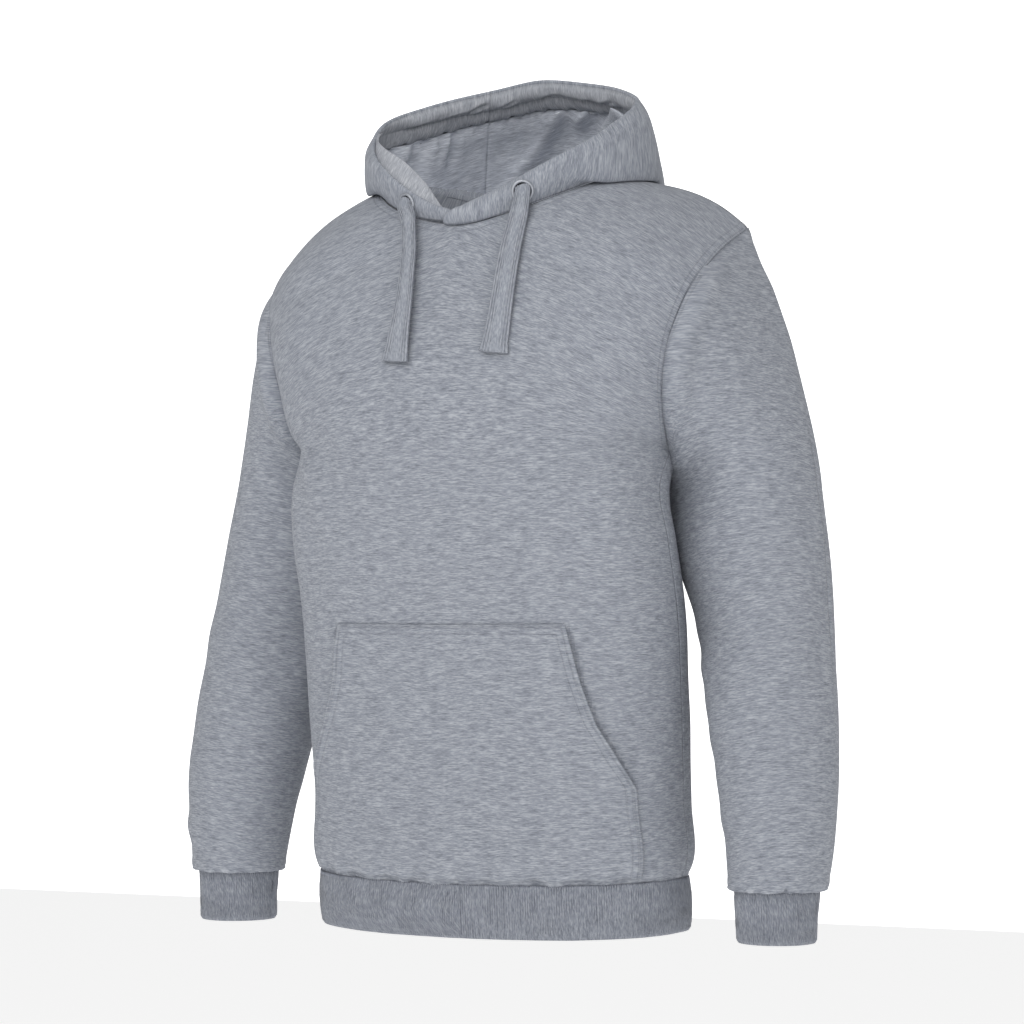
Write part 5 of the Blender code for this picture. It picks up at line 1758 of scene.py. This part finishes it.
def make_floor(level):
    """A pale floor, wide enough to fill the picture."""
    corners = [(-9.0, -9.0, level), (9.0, -9.0, level), (9.0, 9.0, level), (-9.0, 9.0, level)]
    mesh = bpy.data.meshes.new("floor")
    mesh.from_pydata(corners, [], [(0, 1, 2, 3)])
    mesh.materials.append(plain_material("floor_paint", (0.96, 0.96, 0.96), 0.9, emission=0.55))
    floor = bpy.data.objects.new("floor", mesh)
    bpy.context.scene.collection.objects.link(floor)


def make_surround(stage):
    """Even light from all round, brighter where the camera sees it."""
    world = bpy.data.worlds.new("surround")
    bpy.context.scene.world = world
    world.use_nodes = True
    tree = world.node_tree
    shown = tree.nodes["Background"]
    shown.inputs["Color"].default_value = (1.0, 1.0, 1.0, 1.0)
    shown.inputs["Strength"].default_value = stage.surround
    seen = node(tree, "ShaderNodeBackground", Color=(1.0, 1.0, 1.0, 1.0), Strength=1.6)
    path = node(tree, "ShaderNodeLightPath")
    by_camera = path.outputs["Is Camera Ray"]
    pick = node(tree, "ShaderNodeMixShader", _0=by_camera, _1=shown.outputs[0], _2=seen.outputs[0])
    tree.links.new(pick.outputs[0], tree.nodes["World Output"].inputs["Surface"])


def make_lights(stage):
    """Three soft lights, aimed at the middle of the hoodie."""
    for name, azimuth, height, away, width, power in (
        # azimuth from the camera's own direction to the right, height, distance, width and power
        ("key_light", -34.0, 1.50, 2.2, 1.9, stage.key),
        ("front_light", -4.0, 0.60, 3.0, 1.2, stage.front),
        ("fill_light", 44.0, 0.9, 3.0, 2.2, stage.key * 0.46),
    ):
        angle = stage.azimuth + math.radians(azimuth)
        data = bpy.data.lights.new(name, "AREA")
        data.size = width
        data.energy = power
        lamp = bpy.data.objects.new(name, data)
        lamp.location = (away * math.sin(angle), -away * math.cos(angle), height)
        aim = Vector((0.0, 0.0, -0.38)) - lamp.location
        lamp.rotation_euler = aim.to_track_quat("-Z", "Y").to_euler()
        bpy.context.scene.collection.objects.link(lamp)


def make_camera(stage):
    """The camera, level and turned toward the wearer's left."""
    turn = stage.azimuth
    data = bpy.data.cameras.new("camera")
    data.sensor_width = 36.0
    data.lens = stage.lens
    data.shift_x = (FRAME / 2 - AXIS_COLUMN) / FRAME
    data.shift_y = (HORIZON_ROW - FRAME / 2) / FRAME
    camera = bpy.data.objects.new("camera", data)
    camera.location = (stage.distance * math.sin(turn), -stage.distance * math.cos(turn), stage.height)
    camera.rotation_euler = (math.radians(90.0), 0.0, turn)
    bpy.context.scene.collection.objects.link(camera)
    bpy.context.scene.camera = camera


class HOODIE_OT_stage(bpy.types.Operator):
    """Make the pale floor, the soft lights and the camera"""

    bl_idname = "hoodie.stage"
    bl_label = "Stage"

    def execute(self, context):
        stage = context.scene.hoodie_stage
        make_floor(HEM_END - stage.floor_drop)
        make_surround(stage)
        make_lights(stage)
        make_camera(stage)
        context.scene.view_settings.view_transform = "Standard"
        return {"FINISHED"}


OPERATORS = (
    HOODIE_OT_stage,
    HOODIE_OT_cords,
    HOODIE_OT_torso,
    HOODIE_OT_sleeves,
    HOODIE_OT_ribbing,
    HOODIE_OT_pocket,
    HOODIE_OT_hood,
    HOODIE_OT_eyelets,
    HOODIE_OT_stitches,
)


class HOODIE_PT_panel(bpy.types.Panel):
    """The hoodie's pieces, in the order that they are made"""

    bl_idname = "HOODIE_PT_panel"
    bl_label = "Hoodie"
    bl_space_type = "VIEW_3D"
    bl_region_type = "UI"
    bl_category = "Hoodie"

    def draw(self, context):
        for settings in (context.scene.hoodie_sizes, context.scene.hoodie_looks, context.scene.hoodie_stage):
            box = self.layout.box()
            for key in settings.__annotations__:
                box.prop(settings, key)
        for operator in OPERATORS:
            self.layout.operator(operator.bl_idname)


CLASSES = (HoodieSizes, HoodieLooks, StudioSettings, *OPERATORS, HOODIE_PT_panel)


def register():
    for made in CLASSES:
        bpy.utils.register_class(made)
    bpy.types.Scene.hoodie_sizes = bpy.props.PointerProperty(type=HoodieSizes)
    bpy.types.Scene.hoodie_looks = bpy.props.PointerProperty(type=HoodieLooks)
    bpy.types.Scene.hoodie_stage = bpy.props.PointerProperty(type=StudioSettings)


def unregister():
    del bpy.types.Scene.hoodie_stage
    del bpy.types.Scene.hoodie_looks
    del bpy.types.Scene.hoodie_sizes
    for made in reversed(CLASSES):
        bpy.utils.unregister_class(made)


def main():
    register()
    for operator in OPERATORS:
        section, call = operator.bl_idname.split(".")
        getattr(getattr(bpy.ops, section), call)()


if __name__ == "__main__":
    main()
